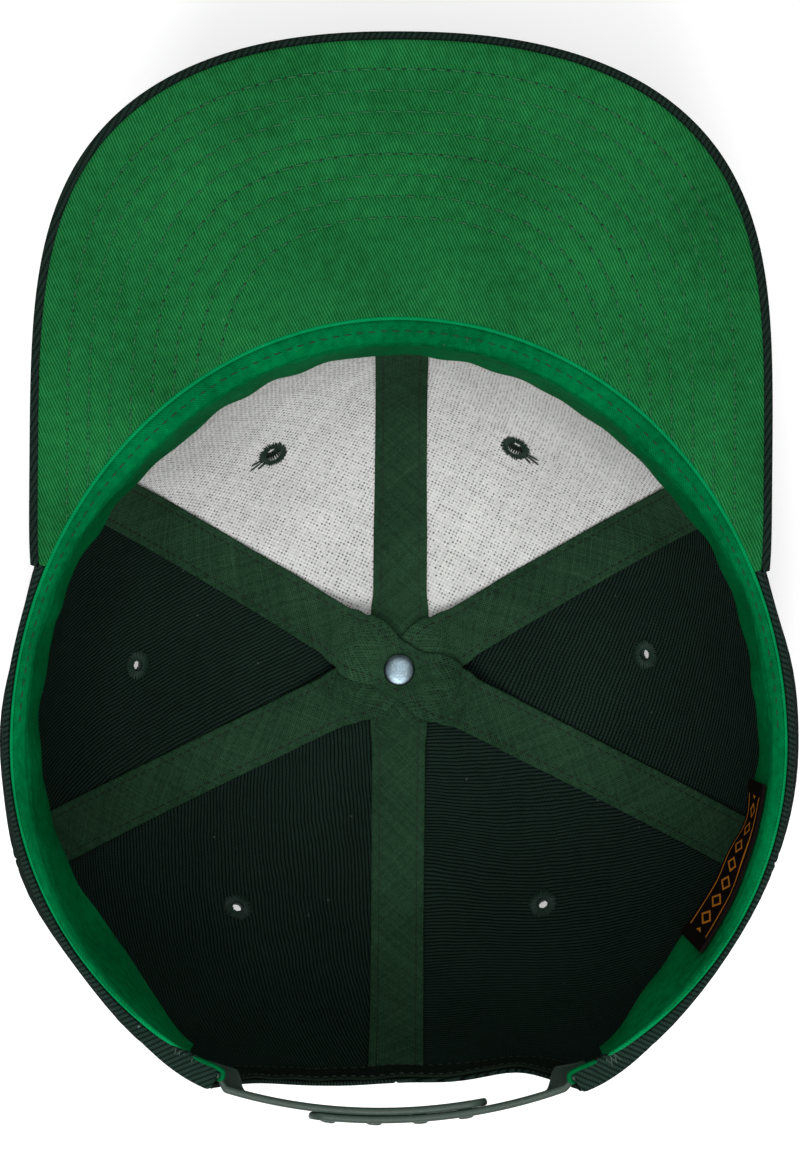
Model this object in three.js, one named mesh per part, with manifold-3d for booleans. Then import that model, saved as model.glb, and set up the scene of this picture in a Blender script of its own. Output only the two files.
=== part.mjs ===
// A six-panel snapback cap that lies on its crown, with its opening and the underside of its peak up.
// Millimetres, +Z up, +Y towards the peak, +X towards the wearer's left.
// The origin is the centre of the top button's face, on the surface that the cap lies on.
import * as THREE from 'three';
import { mergeVertices } from 'three/addons/utils/BufferGeometryUtils.js';
import Module from 'manifold-3d';

const wasm = await Module();
wasm.setup();

// Crown: its depth, and the outer face of its rim as two half ellipses with one shared widest line
const crownDepth = 106;
const rimHalfWidth = 98.6;
const rimFrontReach = 108.7;
const rimBackReach = 94.2;
const widestLineBack = 17;
const panelWall = 1.2;
const panelFlatness = 1.5;
const sideSeamAngle = 59;
const backSeamAngle = 116;

// Directions, in degrees from the peak, where the forms of the front, side and back ease into each other
const frontFormEnd = 38;
const sideFormStart = 74;
const sideFormEnd = 142;
const backFormStart = 172;

// Clearances between neighbouring pieces
const gap = 0.3;
const stackGap = 0.5;
const eyeletGap = 0.45;

// Stiffener, seam tapes and the binding of the arch
const stiffenerWall = 1.0;
const stiffenerStart = 13;
const stiffenerSeamMargin = 3.6;
const tapeWidth = 14.5;
const tapeWall = 1.0;
const tapeStepShare = 0.42;
const liningRimMargin = 3.6;
const tapeStackRadius = 18;
const tapeSettleRadius = 34;
const archHalfWidth = 46;
const archHeight = 46;
const archTapeWidth = 7.4;
const archTapeMiddle = 4.4;

// Sweatband and its label
const bandDepth = 30;
const bandWall = 1.0;
const bandInset = 10;
const bandEndAngle = 150.2;
const bandTaperStart = 140.5;
const bandTaper = 0.72;
const bandRise = 0.6;
const labelStartAngle = 106;
const labelEndAngle = 132;
const labelWall = 0.8;

// Peak, with an outline of two half superellipses that have one power for its width and one for its length
const peakHalfWidth = 93;
const peakTip = 161.3;
const peakWidestLine = 47;
const peakBackReach = 62;
const peakSidePower = 2.3;
const peakTipPower = 3.9;
const peakRise = 4;
const boardWall = 2.7;
const peakLiningWall = 1.0;
const peakBorder = 2.3;
const peakEndWidth = 1.6;
const peakEndStep = 0.25;

// Top button and its rivet
const buttonRadius = 7.8;
const buttonHeight = 4.2;
const buttonFaceRadius = 5.2;
const dimpleRadius = 22;
const rivetHeadRadius = 4.2;
const rivetHeadHeight = 1.5;
const rivetStemRadius = 1.3;
const rivetBoreDepth = 2.2;

// Eyelets
const eyeletRadius = 4;
const eyeletBarrelRadius = 2;
const eyeletHoleRadius = 0.8;
const eyeletFlange = 0.8;
const eyeletCutReach = 18;

// Straps of the closure
const strapWidth = 19;
const strapWall = 1.9;
const strapRimMargin = 0.6;
const strapLean = 2;
const strapSkew = 1.65;
const strapSag = 0.6;
const strapSagHalfSpan = 21;
const strapEdgeMargin = 3;
const strapFreeing = 7;
const strapRootX = 52.6;
const innerStrapEndX = 23.4;
const outerStrapEndX = 21.6;
const pegPitch = 11.5;
const pegEndMargin = 6;
const pegCount = 4;
const pegRadius = 1.9;
const pegHead = 0.25;
const pegHoleReach = 2;

// Numbers of steps
const columnsPerPanel = 7;
const tapeColumns = 4;
const strapSteps = 18;
const archCurveSteps = 18;
const archTapeSteps = 20;
const buttonSides = 20;
const rivetSides = 16;
const solverSteps = 40;
const peakSplits = 2;
const peakRings = [0, 0.4, 0.8, 1];
const roundSides = 10;

// Rows of the crown: heights as shares of its depth, and distances from the button as shares of the rim's
const crownRows = [
  { height: 0, front: 0.43, side: 0.41, back: 0.38 },
  { height: 0.012, front: 0.52, side: 0.51, back: 0.46 },
  { height: 0.055, front: 0.63, side: 0.625, back: 0.59 },
  { height: 0.125, front: 0.74, side: 0.74, back: 0.7 },
  { height: 0.21, front: 0.825, side: 0.84, back: 0.79 },
  { height: 0.32, front: 0.895, side: 0.92, back: 0.865 },
  { height: 0.44, front: 0.94, side: 0.985, back: 0.915 },
  { height: 0.56, front: 0.965, side: 1.03, back: 0.95 },
  { height: 0.68, front: 0.98, side: 1.05, back: 0.968 },
  { height: 0.8, front: 0.99, side: 1.044, back: 0.98 },
  { height: 0.91, front: 0.998, side: 1.022, back: 0.99 },
  { height: 1, front: 1, side: 1, back: 1 },
];

// The dimple that the button presses into the crown: shares of its width beside the button, and of its height
const dimpleRows = [
  { reach: 0, height: 1 },
  { reach: 0.48, height: 0.35 },
  { reach: 1, height: 0 },
];

// Dents (+) and bulges (-) of the crown: direction and half-width in degrees, then height, half-height and
// push inwards as shares of its depth. The first two are the flared ends beside the arch.
const crownDents = [
  { angle: 152.6, width: 10, height: 1, reach: 0.25, push: -0.028 },
  { angle: -152.6, width: 10, height: 1, reach: 0.25, push: -0.028 },
  { angle: 163, width: 8, height: 0.68, reach: 0.16, push: 0.024 },
  { angle: 170, width: 6.5, height: 0.6, reach: 0.3, push: -0.015 },
  { angle: -168, width: 9, height: 0.6, reach: 0.3, push: -0.022 },
  { angle: -132, width: 9, height: 0.72, reach: 0.2, push: 0.016 },
  { angle: -108, width: 9, height: 0.78, reach: 0.2, push: 0.014 },
  { angle: -84, width: 10, height: 0.72, reach: 0.2, push: 0.022 },
  { angle: 80, width: 7, height: 0.72, reach: 0.2, push: 0.012 },
  { angle: 122, width: 19, height: 0.72, reach: 0.2, push: 0.027 },
];

// The sweatband's section from its sewn edge to its hem: shares of its depth and of its inset at the hem
const bandRows = [
  { depth: 0.04, front: 0, side: 0, back: 0 },
  { depth: -0.03, front: 0.12, side: 0.08, back: 0.05 },
  { depth: 0.01, front: 0.56, side: 0.28, back: 0.12 },
  { depth: 0.17, front: 0.62, side: 0.32, back: 0.3 },
  { depth: 0.47, front: 0.67, side: 0.35, back: 0.52 },
  { depth: 0.77, front: 0.71, side: 0.38, back: 0.74 },
  { depth: 1, front: 0.74, side: 0.4, back: 0.88 },
];

// Soft folds in the sweatband: direction and half-width in degrees, push as a share of its inset at the hem
const bandFolds = [
  { angle: -104, width: 5, push: 0.24 },
  { angle: -79, width: 4, push: 0.16 },
  { angle: -128, width: 6, push: -0.14 },
  { angle: 89, width: 6, push: 0.22 },
  { angle: 143, width: 5, push: 0.12 },
];

// Crown panels, from the seam that each starts at, turning from the peak towards the wearer's left
const panels = [
  { name: 'panel_front_left', from: 0, to: sideSeamAngle, lined: true, cut: false },
  { name: 'panel_side_left', from: sideSeamAngle, to: backSeamAngle, lined: false, cut: false },
  { name: 'panel_back_left', from: backSeamAngle, to: 180, lined: false, cut: true },
  { name: 'panel_back_right', from: 180, to: 360 - backSeamAngle, lined: false, cut: true },
  { name: 'panel_side_right', from: 360 - backSeamAngle, to: 360 - sideSeamAngle, lined: false, cut: false },
  { name: 'panel_front_right', from: 360 - sideSeamAngle, to: 360, lined: true, cut: false },
];

// Eyelets: share of the panel's angle from its first seam, and share of the rim's distance from the button
const eyelets = [
  { name: 'eyelet_front_left', panel: 0, turn: 0.46, reach: 0.758 },
  { name: 'eyelet_side_left', panel: 1, turn: 0.47, reach: 0.697 },
  { name: 'eyelet_back_left', panel: 2, turn: 0.5, reach: 0.68 },
  { name: 'eyelet_back_right', panel: 3, turn: 0.53, reach: 0.711 },
  { name: 'eyelet_side_right', panel: 4, turn: 0.47, reach: 0.733 },
  { name: 'eyelet_front_right', panel: 5, turn: 0.48, reach: 0.757 },
];

// Seam tapes: the two seams that each joins, whether it ends at the arch, its level in the stack over the
// button, and whether a stiffener lies under its front half on the side of the lower and of the higher angle
const tapes = [
  { name: 'tape_front_back', from: 0, to: 180, arch: true, level: 0, low: true, high: true },
  { name: 'tape_left_front', from: sideSeamAngle, to: -backSeamAngle, level: 1, low: true, high: false },
  { name: 'tape_right_front', from: -sideSeamAngle, to: backSeamAngle, level: 2, low: false, high: true },
];

// Values worked out from the sizes
const dimpleHeight = buttonHeight + gap;
const dimpleFlat = buttonRadius + 2 * gap;
const stemHoleRadius = rivetStemRadius + gap;
const liningInset = panelWall + gap;
const liningTop = liningInset + stiffenerWall;
const tapeInset = liningInset;
const linedTapeInset = liningTop + gap;
const stackInset = liningTop + stackGap;
const strapRootInset = liningInset + tapeWall + gap + strapWall / 2;
const outerStrapInset = 0;
const innerStrapInset = outerStrapInset + strapWall + gap + gap / 2;

const radians = THREE.MathUtils.degToRad;
const smooth = THREE.MathUtils.smoothstep;

// Distance from the button to the rim's outer face in one direction
function rimRadius(degrees) {
  const across = Math.sin(radians(degrees));
  const along = Math.cos(radians(degrees));
  const radiusWith = (reach) => {
    const a = (across / rimHalfWidth) ** 2 + (along / reach) ** 2;
    const b = (2 * along * widestLineBack) / reach ** 2;
    const c = (widestLineBack / reach) ** 2 - 1;
    return (-b + Math.sqrt(b * b - 4 * a * c)) / (2 * a);
  };
  const radius = radiusWith(rimFrontReach);
  return radius * along + widestLineBack >= 0 ? radius : radiusWith(rimBackReach);
}

// Turns any angle into one from -180 to 180 degrees
function signed(degrees) {
  return ((((degrees + 180) % 360) + 360) % 360) - 180;
}

// Shares of the front, side and back forms in one direction
function formShares(degrees) {
  const turn = Math.abs(signed(degrees));
  const front = 1 - smooth(turn, frontFormEnd, sideFormStart);
  const back = smooth(turn, sideFormEnd, backFormStart);
  return { front, side: 1 - front - back, back };
}

function blend(row, shares) {
  return row.front * shares.front + row.side * shares.side + row.back * shares.back;
}

function planPoint(degrees, radius, height) {
  return new THREE.Vector3(radius * Math.sin(radians(degrees)), radius * Math.cos(radians(degrees)), height);
}

// Directions at equal steps across each panel, all round the crown
function directions(stepsPerPanel) {
  return panels.flatMap((panel) => {
    const step = (panel.to - panel.from) / stepsPerPanel;
    return Array.from({ length: stepsPerPanel }, (_, k) => panel.from + step * k);
  });
}

const meridians = directions(columnsPerPanel);

function panelIndexAt(degrees) {
  const turn = ((degrees % 360) + 360) % 360;
  return panels.findIndex((panel) => turn < panel.to);
}

function columnAt(degrees) {
  const turn = ((degrees % 360) + 360) % 360;
  const index = panelIndexAt(turn);
  const panel = panels[index];
  return columnsPerPanel * (index + (turn - panel.from) / (panel.to - panel.from));
}

function dentShare(degrees, height) {
  return crownDents.reduce((sum, dent) => {
    const away = signed(degrees - dent.angle) / dent.width;
    const above = (height - dent.height) / dent.reach;
    return sum + dent.push * Math.exp(-away * away - above * above);
  }, 0);
}

function meridianPoints(degrees) {
  const across = (columnAt(degrees) / columnsPerPanel) % 1;
  const flat = (panelFlatness * (1 - Math.cos(2 * Math.PI * across))) / 2;
  const rim = rimRadius(degrees);
  const shares = formShares(degrees);
  const dimple = dimpleRows.map((row) =>
    planPoint(degrees, dimpleFlat + (dimpleRadius - dimpleFlat) * row.reach, dimpleHeight * row.height),
  );
  const side = crownRows.map((row) => {
    const inside = flat * Math.sin(Math.PI * row.height) + crownDepth * dentShare(degrees, row.height);
    return planPoint(degrees, rim * blend(row, shares) - inside, crownDepth * row.height);
  });
  return [planPoint(degrees, stemHoleRadius, dimpleHeight), ...dimple, ...side];
}

const crownGrid = meridians.map(meridianPoints);
const rowCount = crownGrid[0].length;
const firstSideRow = 1 + dimpleRows.length;
const columnCount = meridians.length;

function gridNormal(column, row) {
  const next = crownGrid[(column + 1) % columnCount][row];
  const last = crownGrid[(column + columnCount - 1) % columnCount][row];
  const up = crownGrid[column][Math.min(row + 1, rowCount - 1)];
  const down = crownGrid[column][Math.max(row - 1, 0)];
  const along = new THREE.Vector3().subVectors(up, down);
  const around = new THREE.Vector3().subVectors(next, last);
  return around.cross(along).normalize();
}

const inwardGrid = crownGrid.map((points, column) => points.map((_, row) => gridNormal(column, row)));

// A point of the crown at an angle and a row that may lie between two rows, moved inwards from the outer face
function crownPoint(degrees, row, inset) {
  const column = columnAt(degrees);
  const columnLow = Math.floor(column) % columnCount;
  const columnHigh = (columnLow + 1) % columnCount;
  const rowLow = Math.min(Math.floor(row), rowCount - 2);
  const corner = (c, r) => crownGrid[c][r].clone().addScaledVector(inwardGrid[c][r], inset);
  const low = corner(columnLow, rowLow).lerp(corner(columnHigh, rowLow), column % 1);
  const high = corner(columnLow, rowLow + 1).lerp(corner(columnHigh, rowLow + 1), column % 1);
  return low.lerp(high, row - rowLow);
}

function planRadius(point) {
  return Math.hypot(point.x, point.y);
}

// The row of the crown's side at a height
function rowAtHeight(height) {
  const share = THREE.MathUtils.clamp(height / crownDepth, 0, 1);
  const index = Math.max(1, crownRows.findIndex((row) => row.height >= share));
  const low = crownRows[index - 1].height;
  return firstSideRow + index - 1 + (share - low) / (crownRows[index].height - low);
}

// The row of the crown's floor and lower side at a distance from the button
function rowAtRadius(degrees, radius) {
  let row = 0;
  while (row < rowCount - 2 && planRadius(crownPoint(degrees, row + 1, 0)) < radius) {
    row += 1;
  }
  const low = planRadius(crownPoint(degrees, row, 0));
  const high = planRadius(crownPoint(degrees, row + 1, 0));
  return row + THREE.MathUtils.clamp((radius - low) / (high - low), 0, 1);
}

function angleOf(x, y) {
  return THREE.MathUtils.radToDeg(Math.atan2(x, y));
}

// A point of the crown over a place in plan, moved inwards
function crownOver(x, y, inset) {
  const radius = Math.hypot(x, y);
  if (radius <= stemHoleRadius) {
    return new THREE.Vector3(x, y, dimpleHeight + inset);
  }
  const degrees = angleOf(x, y);
  return crownPoint(degrees, rowAtRadius(degrees, radius), inset);
}

// Solids
function geometryFrom(points, faces) {
  const geometry = new THREE.BufferGeometry();
  const numbers = points.flatMap((point) => point.toArray());
  geometry.setAttribute('position', new THREE.Float32BufferAttribute(numbers, 3));
  geometry.setIndex(faces);
  return geometry;
}

function signedVolume(points, faces) {
  let volume = 0;
  for (let i = 0; i < faces.length; i += 3) {
    const [a, b, c] = [points[faces[i]], points[faces[i + 1]], points[faces[i + 2]]];
    volume += a.dot(new THREE.Vector3().crossVectors(b, c)) / 6;
  }
  return volume;
}

// Closes two grids of points, the two faces of a sheet, into one solid with its faces pointing out
function sheetSolid(front, back) {
  const rows = front.length - 1;
  const columns = front[0].length - 1;
  const points = [...front.flat(), ...back.flat()];
  const faces = [];
  const frontAt = (r, c) => r * (columns + 1) + c;
  const backAt = (r, c) => (rows + 1 + r) * (columns + 1) + c;
  const quad = (a, b, c, d) => faces.push(a, b, c, a, c, d);
  for (let r = 0; r < rows; r += 1) {
    for (let c = 0; c < columns; c += 1) {
      quad(frontAt(r, c), frontAt(r, c + 1), frontAt(r + 1, c + 1), frontAt(r + 1, c));
      quad(backAt(r + 1, c + 1), backAt(r, c + 1), backAt(r, c), backAt(r + 1, c));
    }
    quad(frontAt(r, 0), frontAt(r + 1, 0), backAt(r + 1, 0), backAt(r, 0));
    quad(frontAt(r + 1, columns), frontAt(r, columns), backAt(r, columns), backAt(r + 1, columns));
  }
  for (let c = 0; c < columns; c += 1) {
    quad(frontAt(0, c + 1), frontAt(0, c), backAt(0, c), backAt(0, c + 1));
    quad(frontAt(rows, c), frontAt(rows, c + 1), backAt(rows, c + 1), backAt(rows, c));
  }
  if (signedVolume(points, faces) < 0) {
    faces.reverse();
  }
  return geometryFrom(points, faces);
}

function toSolid(geometry) {
  const bare = geometry.clone();
  bare.deleteAttribute('normal');
  bare.deleteAttribute('uv');
  const merged = mergeVertices(bare, 1e-5);
  const vertProperties = new Float32Array(merged.attributes.position.array);
  const triVerts = new Uint32Array(merged.index.array);
  return new wasm.Manifold(new wasm.Mesh({ numProp: 3, vertProperties, triVerts }));
}

function toGeometry(solid) {
  const mesh = solid.getMesh();
  const geometry = new THREE.BufferGeometry();
  geometry.setAttribute('position', new THREE.BufferAttribute(new Float32Array(mesh.vertProperties), 3));
  geometry.setIndex(new THREE.BufferAttribute(new Uint32Array(mesh.triVerts), 1));
  return geometry;
}

const upOfTurning = new THREE.Vector3(0, 1, 0);

// A round bar from one point along a direction, used to cut holes and to make pegs
function barSolid(start, direction, radius, length) {
  const bar = new THREE.CylinderGeometry(radius, radius, length, roundSides);
  bar.translate(0, length / 2, 0);
  bar.applyQuaternion(new THREE.Quaternion().setFromUnitVectors(upOfTurning, direction));
  bar.translate(start.x, start.y, start.z);
  return toSolid(bar);
}

const group = new THREE.Group();

function finish(colour, roughness, metalness = 0) {
  return new THREE.MeshStandardMaterial({ color: colour, roughness, metalness });
}

const darkTwill = finish(0x1b2a25, 0.85);
const buckram = finish(0xb4b4b2, 0.9);
const tapeCloth = finish(0x27402e, 0.8);
const greenTwill = finish(0x1d6835, 0.8);
const bandCloth = finish(0x046439, 0.65);
const thread = finish(0x14382a, 0.8);
const strapPlastic = finish(0x3f4d46, 0.45);
const rivetMetal = finish(0xb9c6cc, 0.3, 1);
const labelCloth = finish(0x1b1614, 0.85);

function addPiece(name, geometry, material) {
  const mesh = new THREE.Mesh(geometry, material);
  mesh.name = name;
  group.add(mesh);
}

// Places of the eyelets on the crown
function eyeletSeat(eyelet) {
  const panel = panels[eyelet.panel];
  const degrees = panel.from + (panel.to - panel.from) * eyelet.turn;
  const row = rowAtRadius(degrees, rimRadius(degrees) * eyelet.reach);
  const outer = crownPoint(degrees, row, 0);
  const inner = crownPoint(degrees, row, panelWall);
  return { outer, inward: inner.sub(outer).normalize(), lined: panel.lined };
}

function eyeletHole(eyelet) {
  const seat = eyeletSeat(eyelet);
  const start = seat.outer.clone().addScaledVector(seat.inward, -eyeletCutReach / 2);
  return barSolid(start, seat.inward, eyeletBarrelRadius + gap, eyeletCutReach);
}

// A sheet that follows one panel between two rows, at a constant distance from both of its seams
function crownSheet(panel, firstRow, lastRow, seamMargin, outside, inside) {
  const rows = [firstRow];
  for (let row = Math.floor(firstRow) + 1; row < lastRow; row += 1) {
    rows.push(row);
  }
  rows.push(lastRow);
  const middle = (panel.from + panel.to) / 2;
  const face = (inset) =>
    rows.map((row) => {
      const radius = planRadius(crownPoint(middle, row, 0));
      const margin = THREE.MathUtils.radToDeg(Math.asin(seamMargin / radius));
      const from = panel.from + margin;
      const to = panel.to - margin;
      return Array.from({ length: columnsPerPanel + 1 }, (_, k) => {
        const onMeridian = panel.from + ((panel.to - panel.from) * k) / columnsPerPanel;
        return crownPoint(THREE.MathUtils.clamp(onMeridian, from, to), row, inset);
      });
    });
  return sheetSolid(face(outside), face(inside));
}

// The arch over the closure, as a bar with a half-elliptical section that runs out through the back
function archBar() {
  const shape = new THREE.Shape();
  shape.moveTo(archHalfWidth, archHeight);
  shape.lineTo(archHalfWidth, 0);
  shape.absellipse(0, 0, archHalfWidth, archHeight, 0, Math.PI, true);
  shape.lineTo(-archHalfWidth, archHeight);
  const depth = rimBackReach;
  const bar = new THREE.ExtrudeGeometry(shape, { depth, bevelEnabled: false, curveSegments: archCurveSteps });
  bar.rotateX(Math.PI / 2);
  bar.translate(0, -archHalfWidth - widestLineBack, crownDepth);
  return toSolid(bar);
}

const arch = archBar();

panels.forEach((panel, index) => {
  const holes = eyelets.filter((eyelet) => eyelet.panel === index).map(eyeletHole);
  let solid = toSolid(crownSheet(panel, 0, rowCount - 1, gap / 2, 0, panelWall));
  holes.forEach((hole) => {
    solid = solid.subtract(hole);
  });
  addPiece(panel.name, toGeometry(panel.cut ? solid.subtract(arch) : solid), darkTwill);
  if (panel.lined) {
    const middle = (panel.from + panel.to) / 2;
    const firstRow = rowAtRadius(middle, stiffenerStart);
    const lastRow = rowAtHeight(crownDepth - liningRimMargin);
    let lining = toSolid(crownSheet(panel, firstRow, lastRow, stiffenerSeamMargin, liningInset, liningTop));
    holes.forEach((hole) => {
      lining = lining.subtract(hole);
    });
    addPiece(panel.name.replace('panel_front', 'stiffener'), toGeometry(lining), buckram);
  }
});

// Seam tapes: each runs from one seam's rim over the button to the other seam's rim
function tapeStation(tape, forward, radius, row) {
  const degrees = forward ? tape.from : tape.to;
  const side = forward ? 1 : -1;
  const settled = smooth(radius, tapeStackRadius, tapeSettleRadius);
  const stacked = stackInset + tape.level * (tapeWall + stackGap);
  const across = Array.from({ length: tapeColumns }, (_, k) => {
    const share = k < tapeColumns / 2 ? -1 : 1;
    return k === 0 || k === tapeColumns - 1 ? share : share * tapeStepShare;
  });
  return across.map((share) => {
    const offset = (share * side * tapeWidth) / 2;
    const lined = forward && (share < 0 ? tape.low : tape.high);
    const inset = THREE.MathUtils.lerp(stacked, lined ? linedTapeInset : tapeInset, settled);
    if (row !== undefined) {
      const turn = THREE.MathUtils.radToDeg(Math.asin(offset / radius));
      return [crownPoint(degrees + turn, row, inset), crownPoint(degrees + turn, row, inset + tapeWall)];
    }
    const x = radius * Math.sin(radians(degrees)) + offset * Math.cos(radians(degrees));
    const y = radius * Math.cos(radians(degrees)) - offset * Math.sin(radians(degrees));
    return [crownOver(x, y, inset), crownOver(x, y, inset + tapeWall)];
  });
}

function tapeHalf(tape, forward, lastRow) {
  const degrees = forward ? tape.from : tape.to;
  const halfway = (dimpleFlat + dimpleRadius) / 2;
  const floorRadii = [dimpleFlat / 2, dimpleFlat, halfway, dimpleRadius, tapeSettleRadius];
  const stations = floorRadii.map((radius) => tapeStation(tape, forward, radius));
  for (let row = firstSideRow + 1; row < lastRow; row += 1) {
    stations.push(tapeStation(tape, forward, planRadius(crownPoint(degrees, row, 0)), row));
  }
  stations.push(tapeStation(tape, forward, planRadius(crownPoint(degrees, lastRow, 0)), lastRow));
  return stations;
}

function tapeSolid(tape) {
  const rimRow = rowAtHeight(crownDepth - liningRimMargin);
  const archRow = rowAtHeight(crownDepth - archHeight - archTapeWidth - gap);
  const front = tapeHalf(tape, true, rimRow);
  const back = tapeHalf(tape, false, tape.arch ? archRow : rimRow);
  const stations = [...front.reverse(), ...back];
  const face = (k) => stations.map((station) => station.map((pair) => pair[k]));
  const centre = new THREE.Vector3(0, 0, 0);
  const stemHole = barSolid(centre, new THREE.Vector3(0, 0, 1), stemHoleRadius, crownDepth / 2);
  return toSolid(sheetSolid(face(0), face(1))).subtract(stemHole);
}

tapes.forEach((tape) => addPiece(tape.name, toGeometry(tapeSolid(tape)), tapeCloth));

// Binding of the arch, on the inside of the back panels along the edge of the arch
function archAngleAt(x, row) {
  const side = Math.sign(x) || 1;
  let low = 90;
  let high = 180;
  for (let k = 0; k < solverSteps; k += 1) {
    const middle = (low + high) / 2;
    if (Math.abs(crownPoint(side * middle, row, liningInset).x) > Math.abs(x)) {
      low = middle;
    } else {
      high = middle;
    }
  }
  return side * low;
}

function archTapeSolid() {
  const face = (inset) =>
    [0, archTapeMiddle, archTapeWidth].map((out) =>
      Array.from({ length: archTapeSteps + 1 }, (_, k) => {
        const turn = (Math.PI * k) / archTapeSteps;
        const x = (archHalfWidth + out) * Math.cos(turn);
        const depth = Math.max((archHeight + out) * Math.sin(turn), gap);
        const row = rowAtHeight(crownDepth - depth);
        return crownPoint(archAngleAt(x, row), row, inset);
      }),
    );
  return sheetSolid(face(liningInset), face(liningInset + tapeWall));
}

addPiece('arch_tape', archTapeSolid(), tapeCloth);

// Sweatband: a section of inset and height for each direction, with soft folds and ends that taper to the rim
function bandSection(degrees) {
  const shares = formShares(degrees);
  const ending = smooth(Math.abs(signed(degrees)), bandTaperStart, bandEndAngle);
  return bandRows.map((row) => {
    const freedom = Math.sin(Math.PI * THREE.MathUtils.clamp(row.depth, 0, 1));
    const push = bandFolds.reduce((sum, fold) => {
      const away = signed(degrees - fold.angle) / fold.width;
      return sum + fold.push * Math.exp(-away * away) * freedom;
    }, 0);
    const lean = blend(row, shares) + push;
    const inset = panelWall + gap + bandWall / 2 + bandInset * lean * (1 - bandTaper * ending);
    return new THREE.Vector2(inset, crownDepth - bandDepth * row.depth * (1 - bandRise * ending));
  });
}

// A point of the band at a place along its section, counted in rows, moved from its middle towards the wearer
function bandPoint(degrees, place, offset) {
  const section = bandSection(degrees);
  const last = section.length - 1;
  const offsetRow = (row) => {
    const along = section[Math.min(row + 1, last)].clone().sub(section[Math.max(row - 1, 0)]).normalize();
    return section[row].clone().add(new THREE.Vector2(-along.y, along.x).multiplyScalar(offset));
  };
  const low = Math.min(Math.floor(place), last - 1);
  const point = offsetRow(low).lerp(offsetRow(low + 1), place - low);
  return planPoint(degrees, rimRadius(degrees) - point.x, point.y);
}

// Two end directions and those between them, at a number of steps across each panel
function anglesBetween(from, to, stepsPerPanel) {
  const inside = directions(stepsPerPanel)
    .map(signed)
    .filter((angle) => angle > from + 1 && angle < to - 1);
  return [from, ...inside.sort((a, b) => a - b), to];
}

function bandSheet(angles, places, outside, inside) {
  const face = (offset) => places.map((place) => angles.map((angle) => bandPoint(angle, place, offset)));
  return sheetSolid(face(outside), face(inside));
}

const bandAngles = anglesBetween(-bandEndAngle, bandEndAngle, columnsPerPanel);
const bandPlaces = bandRows.map((_, k) => k);
addPiece('sweatband', bandSheet(bandAngles, bandPlaces, -bandWall / 2, bandWall / 2), bandCloth);

const labelOffset = bandWall / 2 + stackGap;
const labelAngles = anglesBetween(labelStartAngle, labelEndAngle, columnsPerPanel);
const labelPlaces = [2.6, 3, 4, 5, 5.8];
addPiece('label', bandSheet(labelAngles, labelPlaces, labelOffset, labelOffset + labelWall), labelCloth);

// Distance from the button to the peak's outline, moved in by a border
function peakRadius(degrees, border) {
  let low = 0;
  let high = peakTip + peakHalfWidth;
  for (let k = 0; k < solverSteps; k += 1) {
    const middle = (low + high) / 2;
    const x = Math.abs(middle * Math.sin(radians(degrees)));
    const y = middle * Math.cos(radians(degrees)) - peakWidestLine;
    const reach = (y > 0 ? peakTip - peakWidestLine : peakBackReach) - border;
    const sum = (x / (peakHalfWidth - border)) ** peakSidePower + (Math.abs(y) / reach) ** peakTipPower;
    if (sum < 1) {
      low = middle;
    } else {
      high = middle;
    }
  }
  return low;
}

// The direction in which the peak narrows to its end width
function peakEnd(border, innerRadius) {
  let end = 90;
  while (peakRadius(end, border) - innerRadius(end) < peakEndWidth) {
    end -= peakEndStep;
  }
  return end;
}

// A plate of the peak inside a border of its outline, between two heights over the rim
function peakSheet(border, innerRadius, bottom, top) {
  const end = peakEnd(border, innerRadius);
  const angles = anglesBetween(-end, end, columnsPerPanel * peakSplits);
  const length = peakTip - rimRadius(0);
  const face = (height) =>
    peakRings.map((share) =>
      angles.map((angle) => {
        const inner = innerRadius(angle);
        const radius = THREE.MathUtils.lerp(inner, peakRadius(angle, border), share);
        const rise = peakRise * ((radius - inner) / length) ** 2;
        return planPoint(angle, radius, crownDepth + height + rise);
      }),
    );
  return sheetSolid(face(bottom), face(top));
}

const crownUnderPeak = (angle) => planRadius(crownPoint(angle, rowAtHeight(crownDepth - boardWall), 0)) + gap;
const bandBesidePeak = (angle) => rimRadius(angle) - panelWall - gap;
addPiece('peak_shell', peakSheet(0, crownUnderPeak, -boardWall, 0), darkTwill);
addPiece('peak_lining', peakSheet(peakBorder, bandBesidePeak, gap, gap + peakLiningWall), greenTwill);

// Eyelets: a sewn ring that goes through the panel, with a flange on each face
function eyeletGeometry(seat) {
  const inside = (seat.lined ? liningTop : panelWall) + eyeletGap;
  const profile = [
    [eyeletHoleRadius, -eyeletGap - eyeletFlange],
    [eyeletRadius, -eyeletGap - eyeletFlange / 2],
    [eyeletRadius, -eyeletGap],
    [eyeletBarrelRadius, -eyeletGap],
    [eyeletBarrelRadius, inside],
    [eyeletRadius, inside],
    [eyeletRadius, inside + eyeletFlange / 2],
    [eyeletHoleRadius, inside + eyeletFlange],
    [eyeletHoleRadius, -eyeletGap - eyeletFlange],
  ].map(([radius, height]) => new THREE.Vector2(radius, height));
  const ring = mergeVertices(bareLathe(profile, roundSides), 1e-5);
  ring.applyQuaternion(new THREE.Quaternion().setFromUnitVectors(upOfTurning, seat.inward));
  ring.translate(seat.outer.x, seat.outer.y, seat.outer.z);
  return ring;
}

function bareLathe(profile, sides) {
  const lathe = new THREE.LatheGeometry(profile, sides);
  lathe.deleteAttribute('normal');
  lathe.deleteAttribute('uv');
  return lathe;
}

eyelets.forEach((eyelet) => addPiece(eyelet.name, eyeletGeometry(eyeletSeat(eyelet)), thread));

// Top button and rivet, turned about the origin's upright axis
function uprightLathe(rows, sides) {
  const lathe = bareLathe(rows.map(([radius, height]) => new THREE.Vector2(radius, height)), sides);
  lathe.rotateX(Math.PI / 2);
  return lathe;
}

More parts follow.
